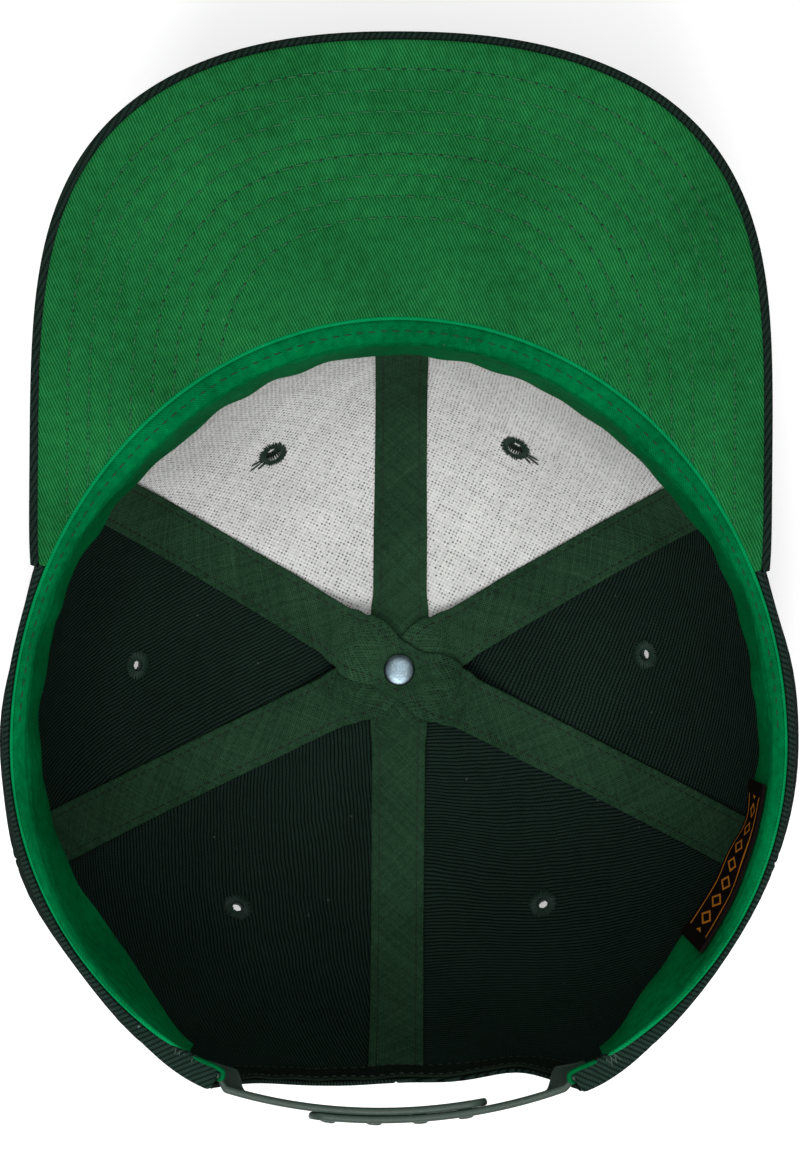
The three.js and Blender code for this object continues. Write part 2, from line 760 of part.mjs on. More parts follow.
const buttonRows = [
  [0, 0],
  [buttonFaceRadius, 0],
  [buttonRadius * 0.93, buttonHeight * 0.2],
  [buttonRadius, buttonHeight * 0.5],
  [buttonRadius * 0.97, buttonHeight * 0.8],
  [buttonRadius * 0.88, buttonHeight],
  [stemHoleRadius, buttonHeight],
  [stemHoleRadius, buttonHeight - rivetBoreDepth],
  [0, buttonHeight - rivetBoreDepth],
];
addPiece('top_button', uprightLathe(buttonRows, buttonSides), darkTwill);

const stackTop = dimpleHeight + stackInset + tapes.length * (tapeWall + stackGap) - stackGap;
const rivetSeat = stackTop + gap;
const rivetRows = [
  [0, buttonHeight - rivetBoreDepth + gap],
  [rivetStemRadius, buttonHeight - rivetBoreDepth + gap],
  [rivetStemRadius, rivetSeat],
  [rivetHeadRadius, rivetSeat],
  [rivetHeadRadius, rivetSeat + rivetHeadHeight * 0.35],
  [rivetHeadRadius * 0.86, rivetSeat + rivetHeadHeight * 0.75],
  [rivetHeadRadius * 0.5, rivetSeat + rivetHeadHeight * 0.95],
  [0, rivetSeat + rivetHeadHeight],
];
addPiece('button_rivet', uprightLathe(rivetRows, rivetSides), rivetMetal);

// Straps: both follow the rim over the arch, and the outer one lies outside the inner one where they overlap
function rimPoint(degrees, inset, height) {
  const step = 0.5;
  const ahead = planPoint(degrees + step, rimRadius(degrees + step), 0);
  const behind = planPoint(degrees - step, rimRadius(degrees - step), 0);
  const along = ahead.sub(behind).normalize();
  const inward = new THREE.Vector3(along.y, -along.x, 0);
  const point = planPoint(degrees, rimRadius(degrees), height);
  return { point: point.addScaledVector(inward, inset), inward };
}

function rimAngleAt(x) {
  let low = 90;
  let high = 180;
  for (let k = 0; k < solverSteps; k += 1) {
    const middle = (low + high) / 2;
    if (rimRadius(middle) * Math.sin(radians(middle)) > x) {
      low = middle;
    } else {
      high = middle;
    }
  }
  return low;
}

const strapTop = crownDepth - strapRimMargin;
const strapMiddle = strapTop - strapWidth / 2;
const rootAngle = rimAngleAt(strapRootX);

// Inset of a strap's middle from the rim: the closed straps lie askew to the rim and a little flatter than it
function strapInset(degrees, baseInset) {
  const x = rimRadius(degrees) * Math.sin(radians(degrees));
  return baseInset + (strapSkew * x) / archHalfWidth + strapSag * (1 - (x / strapSagHalfSpan) ** 2);
}

// Share by which a strap has come out from behind the edge of the arch, at an angle and a height
function strapFreedom(angle, height) {
  const archX = archHalfWidth * Math.sqrt(1 - ((crownDepth - height) / archHeight) ** 2);
  const tuckedX = archX - strapEdgeMargin;
  return smooth(angle, rimAngleAt(tuckedX), rimAngleAt(tuckedX - strapFreeing));
}

// A point of a strap, moved inwards from its middle. The angle is counted from the peak round the strap's own
// side, and side is 1 on the wearer's left.
function strapPoint(side, angle, height, baseInset, shift) {
  const degrees = side * angle;
  const lean = (strapLean * (strapTop - height)) / strapWidth;
  const free = rimPoint(degrees, strapInset(degrees, baseInset) + shift - lean, height).point;
  const tucked = crownPoint(degrees, rowAtHeight(height), strapRootInset + shift);
  tucked.z = height;
  return tucked.lerp(free, strapFreedom(angle, height));
}

// One strap from its root inside the crown to its free end past the middle
function strapSheet(side, endX, baseInset) {
  const endAngle = 360 - rimAngleAt(endX);
  const angles = Array.from({ length: strapSteps + 1 }, (_, k) =>
    THREE.MathUtils.lerp(rootAngle, endAngle, k / strapSteps),
  );
  const face = (shift) =>
    [strapTop - strapWidth, strapMiddle, strapTop].map((height) =>
      angles.map((angle) => strapPoint(side, angle, height, baseInset, shift)),
    );
  return toSolid(sheetSolid(face(-strapWall / 2), face(strapWall / 2)));
}

// Angles of the pegs on the inner strap, from near its free end towards its root
function pegAngles() {
  const perDegree = (rimRadius(180) * Math.PI) / 180;
  const first = 360 - rimAngleAt(innerStrapEndX) - pegEndMargin / perDegree;
  return Array.from({ length: pegCount }, (_, k) => first - (k * pegPitch) / perDegree);
}

function pegBar(angle, radius, extra) {
  const seat = strapPoint(-1, angle, strapMiddle, innerStrapInset, 0);
  const outward = rimPoint(-angle, 0, 0).inward.negate();
  return barSolid(seat, outward, radius, strapWall / 2 + gap + strapWall + extra);
}

let innerStrap = strapSheet(-1, innerStrapEndX, innerStrapInset);
pegAngles().forEach((angle) => {
  innerStrap = innerStrap.add(pegBar(angle, pegRadius, pegHead));
});
addPiece('strap_with_pegs', toGeometry(innerStrap), strapPlastic);

// The outer strap's holes carry on at the pegs' pitch towards its root
let outerStrap = strapSheet(1, outerStrapEndX, outerStrapInset);
const pegStep = pegAngles()[1] - pegAngles()[0];
const holeAngles = [pegAngles()[0] - 2 * pegStep, pegAngles()[0] - pegStep, ...pegAngles()];
holeAngles
  .filter((angle) => rimPoint(-angle, 0, 0).point.x > pegRadius + gap + pegHead - outerStrapEndX)
  .forEach((angle) => {
    outerStrap = outerStrap.subtract(pegBar(angle, pegRadius + gap, pegHoleReach));
  });
addPiece('strap_with_holes', toGeometry(outerStrap), strapPlastic);

export default group;
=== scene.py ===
"""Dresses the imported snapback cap: smooth sewn cloth, threads, straps and finishes around its fixed frame.

The cap lies on its crown. Shapes are worked out in millimetres and degrees, with directions counted from the
peak towards the wearer's left, and each mesh is made in metres.
"""

import logging
import math
from collections.abc import Callable, Sequence
from dataclasses import dataclass, field
from enum import Enum
from typing import NamedTuple

import bpy
import numpy as np
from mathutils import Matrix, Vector

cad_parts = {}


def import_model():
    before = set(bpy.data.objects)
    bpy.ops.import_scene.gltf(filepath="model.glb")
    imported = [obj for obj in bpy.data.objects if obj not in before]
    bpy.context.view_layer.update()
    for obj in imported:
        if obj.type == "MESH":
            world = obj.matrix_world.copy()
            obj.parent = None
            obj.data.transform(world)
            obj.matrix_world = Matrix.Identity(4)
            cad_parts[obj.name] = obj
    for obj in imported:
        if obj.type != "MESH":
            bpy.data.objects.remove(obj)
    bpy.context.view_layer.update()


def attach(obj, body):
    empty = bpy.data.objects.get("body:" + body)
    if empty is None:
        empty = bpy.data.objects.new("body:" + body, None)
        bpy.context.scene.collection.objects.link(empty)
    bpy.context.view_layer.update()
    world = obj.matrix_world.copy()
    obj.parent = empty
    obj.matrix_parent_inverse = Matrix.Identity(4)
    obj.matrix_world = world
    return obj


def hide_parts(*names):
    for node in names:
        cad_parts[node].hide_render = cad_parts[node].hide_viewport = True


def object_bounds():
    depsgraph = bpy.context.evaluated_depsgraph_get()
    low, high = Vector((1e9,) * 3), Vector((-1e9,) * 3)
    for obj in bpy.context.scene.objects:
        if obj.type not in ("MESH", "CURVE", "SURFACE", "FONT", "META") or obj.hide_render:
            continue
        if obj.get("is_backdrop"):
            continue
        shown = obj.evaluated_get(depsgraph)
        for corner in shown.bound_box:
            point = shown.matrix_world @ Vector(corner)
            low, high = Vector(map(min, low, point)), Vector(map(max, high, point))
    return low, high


LOG = logging.getLogger("snapback_cap")
METRES = 0.001
BODY = "root"
CLOTH_MAP = "cloth"
Colour = tuple[float, float, float]


class Slot(Enum):
    """Material slots of the record."""

    DARK_TWILL = "dark_twill"
    BUCKRAM = "buckram"
    TAPE = "tape"
    GREEN_TWILL = "green_twill"
    SWEATBAND = "sweatband"
    THREAD = "thread"
    LABEL = "label"
    STRAP = "strap"
    RIVET = "rivet"


class CrownRow(NamedTuple):
    """A row of the crown: share of its depth, and shares of the rim's distance from the button."""

    height: float
    front: float
    side: float
    back: float


class Dent(NamedTuple):
    """A dent (+) or bulge (-) of the crown: degrees, degrees, then shares of the crown's depth."""

    angle: float
    width: float
    height: float
    reach: float
    push: float


class BandRow(NamedTuple):
    """A row of the sweatband's section: share of its depth, and shares of its inset at the hem."""

    depth: float
    front: float
    side: float
    back: float


class Fold(NamedTuple):
    """A soft fold of the sweatband: degrees, degrees, and a share of its inset at the hem."""

    angle: float
    width: float
    push: float


class Panel(NamedTuple):
    """A crown panel between two seams, with the turn of its twill as seen from above."""

    name: str
    start: float
    end: float
    lined: bool
    cut: bool
    rib_turn: float


class EyeletPlace(NamedTuple):
    """An eyelet: its panel, its share of the panel's angle and its share of the rim's distance."""

    name: str
    panel: int
    turn: float
    reach: float
    frayed: float


CROWN_ROWS = (
    CrownRow(0, 0.43, 0.41, 0.38),
    CrownRow(0.012, 0.52, 0.51, 0.46),
    CrownRow(0.055, 0.63, 0.625, 0.59),
    CrownRow(0.125, 0.74, 0.74, 0.7),
    CrownRow(0.21, 0.825, 0.84, 0.79),
    CrownRow(0.32, 0.895, 0.92, 0.865),
    CrownRow(0.44, 0.94, 0.985, 0.915),
    CrownRow(0.56, 0.965, 1.03, 0.95),
    CrownRow(0.68, 0.98, 1.05, 0.968),
    CrownRow(0.8, 0.99, 1.044, 0.98),
    CrownRow(0.91, 0.998, 1.022, 0.99),
    CrownRow(1, 1, 1, 1),
)
DIMPLE_ROWS = ((0.0, 1.0), (0.48, 0.35), (1.0, 0.0))
CROWN_DENTS = (
    Dent(152.6, 10, 1, 0.25, -0.028),
    Dent(-152.6, 10, 1, 0.25, -0.028),
    Dent(163, 8, 0.68, 0.16, 0.024),
    Dent(170, 6.5, 0.6, 0.3, -0.015),
    Dent(-168, 9, 0.6, 0.3, -0.022),
    Dent(-132, 9, 0.72, 0.2, 0.016),
    Dent(-108, 9, 0.78, 0.2, 0.014),
    Dent(-84, 10, 0.72, 0.2, 0.022),
    Dent(80, 7, 0.72, 0.2, 0.012),
    Dent(122, 19, 0.72, 0.2, 0.027),
)
BAND_ROWS = (
    BandRow(0.04, 0, 0, 0),
    BandRow(-0.03, 0.12, 0.08, 0.05),
    BandRow(0.01, 0.56, 0.28, 0.12),
    BandRow(0.17, 0.62, 0.32, 0.3),
    BandRow(0.47, 0.67, 0.35, 0.52),
    BandRow(0.77, 0.71, 0.38, 0.74),
    BandRow(1, 0.74, 0.4, 0.88),
)
BAND_FOLDS = (
    Fold(-104, 5, 0.24),
    Fold(-79, 4, 0.16),
    Fold(-128, 6, -0.14),
    Fold(89, 6, 0.22),
    Fold(143, 5, 0.12),
)
PANELS = (
    Panel("panel_front_left", 0, 59, True, False, 62),
    Panel("panel_side_left", 59, 116, False, False, 60),
    Panel("panel_back_left", 116, 180, False, True, 2),
    Panel("panel_back_right", 180, 244, False, True, 93),
    Panel("panel_side_right", 244, 301, False, False, 28),
    Panel("panel_front_right", 301, 360, True, False, 118),
)
EYELETS = (
    EyeletPlace("eyelet_front_left", 0, 0.46, 0.758, 1),
    EyeletPlace("eyelet_side_left", 1, 0.47, 0.697, 0),
    EyeletPlace("eyelet_back_left", 2, 0.5, 0.68, 0),
    EyeletPlace("eyelet_back_right", 3, 0.53, 0.711, 0),
    EyeletPlace("eyelet_side_right", 4, 0.47, 0.733, 0),
    EyeletPlace("eyelet_front_right", 5, 0.48, 0.757, -1),
)


def smoothstep(value: np.ndarray | float, low: float, high: float) -> np.ndarray:
    """Eases from 0 to 1 between two values.

    Args:
        value: The values to ease.
        low: Where the step starts.
        high: Where the step ends.

    Returns:
        The eased shares.
    """
    share = np.clip((np.asarray(value, float) - low) / (high - low), 0, 1)
    return share * share * (3 - 2 * share)


def signed(degrees: np.ndarray | float) -> np.ndarray:
    """Turns any angle into one from -180 to 180 degrees."""
    return (np.asarray(degrees, float) + 180) % 360 - 180


def bell(offset: np.ndarray, width: float | np.ndarray) -> np.ndarray:
    """A bell curve of height 1 over an offset."""
    return np.exp(-((offset / width) ** 2))


def rows_at(table: np.ndarray, row: np.ndarray) -> np.ndarray:
    """Reads tables of evenly numbered rows between their rows, with no overshoot.

    Args:
        table: One table of values for each query, shape (queries, rows).
        row: The place in each table, counted in rows.

    Returns:
        One value for each query.
    """
    count = table.shape[1]
    steps = np.diff(table, axis=1)
    before, after = steps[:, :-1], steps[:, 1:]
    product = before * after
    inner = np.where(product > 0, 2 * product / np.where(before + after == 0, 1, before + after), 0)
    slopes = np.concatenate([steps[:, :1], inner, steps[:, -1:]], axis=1)
    low = np.clip(np.floor(row).astype(int), 0, count - 2)
    pick = np.arange(len(row))
    share = row - low
    start, end = table[pick, low], table[pick, low + 1]
    rise, fall = slopes[pick, low], slopes[pick, low + 1]
    square, cube = share**2, share**3
    return (
        (2 * cube - 3 * square + 1) * start
        + (cube - 2 * square + share) * rise
        + (3 * square - 2 * cube) * end
        + (cube - square) * fall
    )


def plan_point(degrees: np.ndarray, radius: np.ndarray, height: np.ndarray) -> np.ndarray:
    """Points at directions, distances from the button's axis and heights."""
    turn = np.radians(degrees)
    return np.stack(np.broadcast_arrays(radius * np.sin(turn), radius * np.cos(turn), height), axis=-1)


def unit(vectors: np.ndarray) -> np.ndarray:
    """Vectors scaled to length 1."""
    return vectors / np.maximum(np.linalg.norm(vectors, axis=-1, keepdims=True), 1e-12)


@dataclass(frozen=True)
class CapForm:
    """The form that every piece of the cap follows, in millimetres and degrees."""

    crown_depth: float = 106.0
    rim_half_width: float = 98.6
    rim_front_reach: float = 108.7
    rim_back_reach: float = 94.2
    widest_line_back: float = 17.0
    panel_wall: float = 1.2
    panel_flatness: float = 1.5
    gap: float = 0.3
    stack_gap: float = 0.5
    stem_hole: float = 1.6
    dimple_height: float = 4.5
    dimple_flat: float = 8.4
    dimple_radius: float = 22.0
    stiffener_wall: float = 1.0
    arch_half_width: float = 46.0
    arch_height: float = 46.0
    band_depth: float = 30.0
    band_wall: float = 1.0
    band_inset: float = 10.0
    relief: float = 0.22

    @property
    def lining_inset(self) -> float:
        """Inset of what lies against the inside of a panel."""
        return self.panel_wall + self.gap

    @property
    def lining_top(self) -> float:
        """Inset of the stiffeners' inner face."""
        return self.lining_inset + self.stiffener_wall

    @property
    def first_side_row(self) -> int:
        """Number of the row where the dimple ends and the crown's side begins."""
        return 1 + len(DIMPLE_ROWS)

    @property
    def last_row(self) -> int:
        """Number of the rim's row."""
        return self.first_side_row + len(CROWN_ROWS) - 1

    def rim_radius(self, degrees: np.ndarray | float) -> np.ndarray:
        """Distance from the button to the rim's outer face.

        Args:
            degrees: Directions from the peak.

        Returns:
            The distances in millimetres.
        """
        turn = np.radians(np.asarray(degrees, float))
        across, along = np.sin(turn), np.cos(turn)

        def with_reach(reach: float) -> np.ndarray:
            """The distance with one half ellipse's reach."""
            a = (across / self.rim_half_width) ** 2 + (along / reach) ** 2
            b = 2 * along * self.widest_line_back / reach**2
            c = (self.widest_line_back / reach) ** 2 - 1
            return (-b + np.sqrt(b * b - 4 * a * c)) / (2 * a)

        front = with_reach(self.rim_front_reach)
        ahead = front * along + self.widest_line_back >= 0
        return np.where(ahead, front, with_reach(self.rim_back_reach))

    @staticmethod
    def form_shares(degrees: np.ndarray) -> tuple[np.ndarray, np.ndarray, np.ndarray]:
        """Shares of the front, side and back forms in each direction."""
        turn = np.abs(signed(degrees))
        front = 1 - smoothstep(turn, 38, 74)
        back = smoothstep(turn, 142, 172)
        return front, 1 - front - back, back

    @staticmethod
    def across_share(degrees: np.ndarray) -> np.ndarray:
        """Share of the way across its panel for each direction."""
        turn = np.asarray(degrees, float) % 360
        seams = np.array([panel.start for panel in PANELS] + [360.0])
        index = np.clip(np.searchsorted(seams, turn, side="right") - 1, 0, len(PANELS) - 1)
        return (turn - seams[index]) / (seams[index + 1] - seams[index])

    def meridians(self, degrees: np.ndarray) -> tuple[np.ndarray, np.ndarray]:
        """Tables of distance and height up the crown.

        Args:
            degrees: Directions from the peak, shape (queries,).

        Returns:
            Distances from the button's axis and heights, both of shape (queries, rows).
        """
        heights = np.array([row.height for row in CROWN_ROWS])
        shares = self.form_shares(degrees)
        names = ("front", "side", "back")
        columns = [np.array([getattr(row, name) for row in CROWN_ROWS]) for name in names]
        form = sum(share[:, None] * column for share, column in zip(shares, columns, strict=True))
        flat = self.panel_flatness * (1 - np.cos(2 * np.pi * self.across_share(degrees))) / 2
        inside = flat[:, None] * np.sin(np.pi * heights)
        for dent in CROWN_DENTS:
            away = bell(signed(degrees - dent.angle), dent.width)
            push = self.crown_depth * dent.push * away[:, None]
            inside = inside + push * bell(heights - dent.height, dent.reach)
        side = self.rim_radius(degrees)[:, None] * form - inside
        reach = self.dimple_radius - self.dimple_flat
        floor = [self.stem_hole] + [self.dimple_flat + reach * share for share, _ in DIMPLE_ROWS]
        rise = [self.dimple_height] + [self.dimple_height * share for _, share in DIMPLE_ROWS]
        radii = np.concatenate([np.tile(floor, (len(degrees), 1)), side], axis=1)
        levels = np.concatenate([rise, self.crown_depth * heights])
        return radii, np.tile(levels, (len(degrees), 1))

    def surface(self, degrees: np.ndarray, row: np.ndarray) -> np.ndarray:
        """Points of the crown's outer face.

        Args:
            degrees: Directions from the peak.
            row: Places up the crown, counted in rows.

        Returns:
            The points, shape (queries, 3).
        """
        radii, levels = self.meridians(degrees)
        radius, height = rows_at(radii, row), rows_at(levels, row)
        settle = smoothstep(height, 6, 30) * (1 - smoothstep(height, 96, 104))
        turn = np.radians(degrees)
        ripple = np.sin(7 * turn + 0.05 * height + 0.6) * np.sin(0.062 * height + 1.3 * np.cos(3 * turn))
        ripple += 0.6 * np.sin(13 * turn - 0.08 * height + 2.1)
        return plan_point(degrees, radius + self.relief * settle * ripple, height)

    def inward(self, degrees: np.ndarray, row: np.ndarray) -> np.ndarray:
        """Directions into the crown, square to its outer face."""
        low, high = np.maximum(row - 0.06, 0), np.minimum(row + 0.06, self.last_row)
        up = self.surface(degrees, high) - self.surface(degrees, low)
        around = self.surface(degrees + 0.25, row) - self.surface(degrees - 0.25, row)
        return unit(np.cross(around, up))

    def crown(self, degrees: np.ndarray, row: np.ndarray, inset: np.ndarray | float = 0.0) -> np.ndarray:
        """Points of the crown at an inset from its outer face.

        Args:
            degrees: Directions from the peak, in any shape.
            row: Places up the crown, counted in rows.
            inset: Distances moved in from the outer face.

        Returns:
            The points, with one more axis of length 3.
        """
        degrees, row, inset = np.broadcast_arrays(
            np.asarray(degrees, float), np.asarray(row, float), np.asarray(inset, float)
        )
        flat_degrees, flat_row = degrees.ravel(), row.ravel()
        points = self.surface(flat_degrees, flat_row)
        points = points + self.inward(flat_degrees, flat_row) * inset.ravel()[:, None]
        return points.reshape(*degrees.shape, 3)

    def row_at_height(self, height: np.ndarray | float) -> np.ndarray:
        """The row of the crown's side at each height."""
        rows = np.linspace(self.first_side_row, self.last_row, 600)
        levels = rows_at(np.tile(self.meridians(np.array([0.0]))[1], (len(rows), 1)), rows)
        return np.interp(height, levels, rows)

    def row_at_radius(self, degrees: float, radius: np.ndarray | float) -> np.ndarray:
        """The row of the crown's floor and lower side at each distance, in one direction."""
        rows = np.linspace(0, self.last_row, 900)
        points = self.surface(np.full(len(rows), float(degrees)), rows)
        distance = np.hypot(points[:, 0], points[:, 1])
        top = int(np.argmax(distance))
        return np.interp(radius, distance[: top + 1], rows[: top + 1])

    def over(self, x: np.ndarray, y: np.ndarray, inset: np.ndarray | float) -> np.ndarray:
        """Points of the crown's floor over places in plan.

        Args:
            x: Places across the cap.
            y: Places along the cap.
            inset: Distances moved in from the outer face.

        Returns:
            The points, with one more axis of length 3.
        """
        x, y, inset = np.broadcast_arrays(*(np.asarray(value, float) for value in (x, y, inset)))
        degrees = np.degrees(np.arctan2(x, y)).ravel()
        radius = np.maximum(np.hypot(x, y).ravel(), self.stem_hole)
        tries = np.linspace(0, self.first_side_row + 3, 140)
        points = self.surface(np.repeat(degrees, len(tries)), np.tile(tries, len(degrees)))
        distance = np.hypot(points[:, 0], points[:, 1]).reshape(len(degrees), len(tries))
        rows = np.array([np.interp(r, line, tries) for r, line in zip(radius, distance, strict=True)])
        points = self.crown(degrees, rows, inset.ravel())
        return points.reshape(*x.shape, 3)


FORM = CapForm()


@dataclass
class Sheet:
    """Two faces of a sheet over one set of places, which build() closes into one solid.

    Attributes:
        front: Points of the first face, shape (places, 3).
        back: Points of the second face, shape (places, 3).
        faces: Polygons over the places.
        cloth: Place on the flat cloth, in millimetres, shape (places, 2).
    """

    front: np.ndarray
    back: np.ndarray
    faces: list[tuple[int, ...]]
    cloth: np.ndarray

    def build(self, name: str, sharp: float = 42.0) -> bpy.types.Object:
        """Closes the sheet and makes its object.

        Args:
            name: The piece's name.
            sharp: Edges that turn by more degrees than this stay sharp.

        Returns:
            The new object, in metres.
        """
        count = len(self.front)
        points = np.concatenate([self.front, self.back])
        directed = {(a, b) for face in self.faces for a, b in zip(face, face[1:] + face[:1], strict=True)}
        sides = [(b, a, a + count, b + count) for a, b in sorted(directed) if (b, a) not in directed]
        faces = list(self.faces)
        faces += [tuple(index + count for index in reversed(face)) for face in self.faces]
        faces += sides
        volume = sum(
            float(np.dot(points[face[0]], np.cross(points[face[k]], points[face[k + 1]])))
            for face in faces
            for k in range(1, len(face) - 1)
        )
        if volume < 0:
            faces = [tuple(reversed(face)) for face in faces]
        return make_object(name, points, faces, np.concatenate([self.cloth, self.cloth]), sharp)


def make_object(
    name: str,
    points: np.ndarray,
    faces: Sequence[tuple[int, ...]],
    cloth: np.ndarray | None = None,
    sharp: float = 42.0,
) -> bpy.types.Object:
    """Makes a smooth shaded mesh object from points in millimetres.

    Args:
        name: The piece's name.
        points: Points in millimetres.
        faces: Polygons over the points.
        cloth: Each point's place on the flat cloth, in millimetres.
        sharp: Edges that turn by more degrees than this stay sharp.

    Returns:
        The new object, in metres.
    """
    used = sorted({index for face in faces for index in face})
    renumber = {old: new for new, old in enumerate(used)}
    mesh = bpy.data.meshes.new(name)
    mesh.from_pydata(
        (points[used] * METRES).tolist(), [], [tuple(renumber[index] for index in face) for face in faces]
    )
    mesh.validate()
    if cloth is not None:
        layer = mesh.uv_layers.new(name=CLOTH_MAP)
        corners = np.zeros(len(mesh.loops), np.int32)
        mesh.loops.foreach_get("vertex_index", corners)
        layer.data.foreach_set("uv", (cloth[used][corners] * METRES).astype(np.float32).ravel())
    mesh.polygons.foreach_set("use_smooth", [True] * len(mesh.polygons))
    mesh.set_sharp_from_angle(angle=math.radians(sharp))
    mesh.update()
    piece = bpy.data.objects.new(name, mesh)
    bpy.context.scene.collection.objects.link(piece)
    return piece


def grid_faces(rows: int, columns: int) -> list[tuple[int, ...]]:
    """Quads over a grid of places, row by row."""
    return [
        (r * columns + c, r * columns + c + 1, (r + 1) * columns + c + 1, (r + 1) * columns + c)
        for r in range(rows - 1)
        for c in range(columns - 1)
    ]


def rounded(distance: np.ndarray, half_wall: float) -> np.ndarray:
    """Share of its half thickness that a sheet has at a distance from its rounded edge."""
    share = np.clip(distance / half_wall, 0, 1)
    return np.sqrt(np.maximum(1 - (1 - share) ** 2, 0.0)) * 0.9 + 0.1


def weld(faces: Sequence[tuple[int, ...]], same: np.ndarray) -> list[tuple[int, ...]]:
    """Renames places that coincide and drops the faces that close up.

    Args:
        faces: Polygons over the places.
        same: For each place, the place that stands for it.

    Returns:
        The polygons that are left.
    """
    kept = []
    for face in faces:
        named = [int(same[index]) for index in face]
        loop = [a for a, b in zip(named, named[1:] + named[:1], strict=True) if a != b]
        if len(set(loop)) >= 3:
            kept.append(tuple(loop))
    return kept


def punch(
    places: np.ndarray,
    rows: int,
    columns: int,
    holes: Sequence[tuple[np.ndarray, np.ndarray, float]],
    reach: float,
    rings: int = 4,
) -> tuple[np.ndarray, list[tuple[int, ...]]]:
    """Opens round holes in a grid of places.

    Args:
        places: Two numbers for each place of the grid, row by row.
        rows: The grid's rows.
        columns: The grid's columns.
        holes: For each hole its middle, the millimetres that one unit of each number spans, and its radius.
        reach: Half the side of the square of places that is laid anew around a hole, in millimetres.
        rings: Rings of places between that square and the hole.

    Returns:
        The places, with the new ones after the old ones, and the polygons.
    """
    grid = places.reshape(rows, columns, 2)
    faces = {(r, c) for r in range(rows - 1) for c in range(columns - 1)}
    extra: list[np.ndarray] = []
    ring_faces: list[tuple[int, ...]] = []
    total = rows * columns
    for middle, scale, radius in holes:
        away = (grid - middle) * scale
        inside = np.max(np.abs(away), axis=2) <= reach
        r_low, r_high = np.where(inside.any(axis=1))[0][[0, -1]]
        c_low, c_high = np.where(inside.any(axis=0))[0][[0, -1]]
        faces -= {(r, c) for r in range(r_low, r_high) for c in range(c_low, c_high)}
        edge = [(r_low, c) for c in range(c_low, c_high)] + [(r, c_high) for r in range(r_low, r_high)]
        edge += [(r_high, c) for c in range(c_high, c_low, -1)]
        edge += [(r, c_low) for r in range(r_high, r_low, -1)]
        outer = np.array([grid[r, c] for r, c in edge])
        turn = (outer - middle) * scale
        angle = np.arctan2(turn[:, 1], turn[:, 0])
        circle = middle + radius * np.stack([np.cos(angle), np.sin(angle)], axis=1) / scale
        last = [r * columns + c for r, c in edge]
        for ring in range(1, rings + 1):
            share = 1 - (1 - ring / rings) ** 1.4
            extra.append(outer + (circle - outer) * share)
            now = list(range(total, total + len(edge)))
            total += len(edge)
            for k in range(len(edge)):
                after = (k + 1) % len(edge)
                ring_faces.append((last[k], last[after], now[after], now[k]))
            last = now
    quads = [
        (r * columns + c, r * columns + c + 1, (r + 1) * columns + c + 1, (r + 1) * columns + c)
        for r, c in sorted(faces)
    ]
    everything = np.concatenate([places, *extra]) if extra else places
    return everything, quads + ring_faces


def waves(u: np.ndarray, v: np.ndarray, seed: int, count: int = 6) -> np.ndarray:
    """A soft uneven surface made of waves with fixed directions.

    Args:
        u: Place in one direction, in wavelengths.
        v: Place in the other direction, in wavelengths.
        seed: Picks the set of waves.
        count: Number of waves.

    Returns:
        Heights from about -1 to 1.
    """
    chance = np.random.default_rng(seed)
    total = np.zeros(np.broadcast(u, v).shape)
    for _ in range(count):
        turn, pitch, phase = chance.uniform(0, np.pi), chance.uniform(0.7, 1.6), chance.uniform(0, 2 * np.pi)
        total = total + np.sin(2 * np.pi * pitch * (u * np.cos(turn) + v * np.sin(turn)) + phase)
    return total / math.sqrt(count)


class TreeBuilder:
    """Adds and links nodes of one node tree in few words."""

    def __init__(self, tree: bpy.types.NodeTree) -> None:
        """Keeps the tree.

        Args:
            tree: The tree to build in.
        """
        self.tree = tree

    def node(self, kind: str, inputs: dict | None = None, **settings: object) -> bpy.types.Node:
        """Adds a node.

        Args:
            kind: The node's type name.
            inputs: Values or sockets for its inputs, by name or by number.
            settings: The node's own settings.

        Returns:
            The new node.
        """
        made = self.tree.nodes.new(kind)
        for name, value in settings.items():
            setattr(made, name, value)
        for key, value in (inputs or {}).items():
            if isinstance(value, bpy.types.NodeSocket):
                self.tree.links.new(value, made.inputs[key])
            else:
                made.inputs[key].default_value = value
        return made

    def math(self, operation: str, *values: object, clamp: bool = False) -> bpy.types.NodeSocket:
        """Adds a math node and returns its result."""
        kind = "ShaderNodeMath"
        made = self.node(kind, dict(enumerate(values)), operation=operation, use_clamp=clamp)
        return made.outputs[0]

    def mix(self, share: object, low: object, high: object, blend: str = "MIX") -> bpy.types.NodeSocket:
        """Adds a colour mix and returns its result."""
        made = self.node(
            "ShaderNodeMix",
            {0: share, 6: low, 7: high},
            data_type="RGBA",
            blend_type=blend,
            clamp_factor=True,
        )
        return made.outputs[2]

    def noise(
        self, place: object, scale: float, detail: float = 2.0, roughness: float = 0.5
    ) -> bpy.types.NodeSocket:
        """Adds a noise value at a place."""
        values = {"Vector": place, "Scale": scale, "Detail": detail, "Roughness": roughness}
        return self.node("ShaderNodeTexNoise", values).outputs[0]

    def scaled(self, vector: object, size: object) -> bpy.types.NodeSocket:
        """Adds a vector or a colour times a number."""
        made = self.node("ShaderNodeVectorMath", {0: vector, "Scale": size}, operation="SCALE")
        return made.outputs[0]

    def near(self, value: object, middle: float, reach: float) -> bpy.types.NodeSocket:
        """Adds 1 where a value is within reach of the middle, and 0 elsewhere."""
        away = self.math("ABSOLUTE", self.math("SUBTRACT", value, middle))
        return self.math("LESS_THAN", away, reach)


def input_key(tree: bpy.types.NodeTree, label: str) -> str:
    """The identifier of a node group's named input."""
    return next(
        item.identifier
        for item in tree.interface.items_tree
        if item.item_type == "SOCKET" and item.in_out == "INPUT" and item.name == label
    )


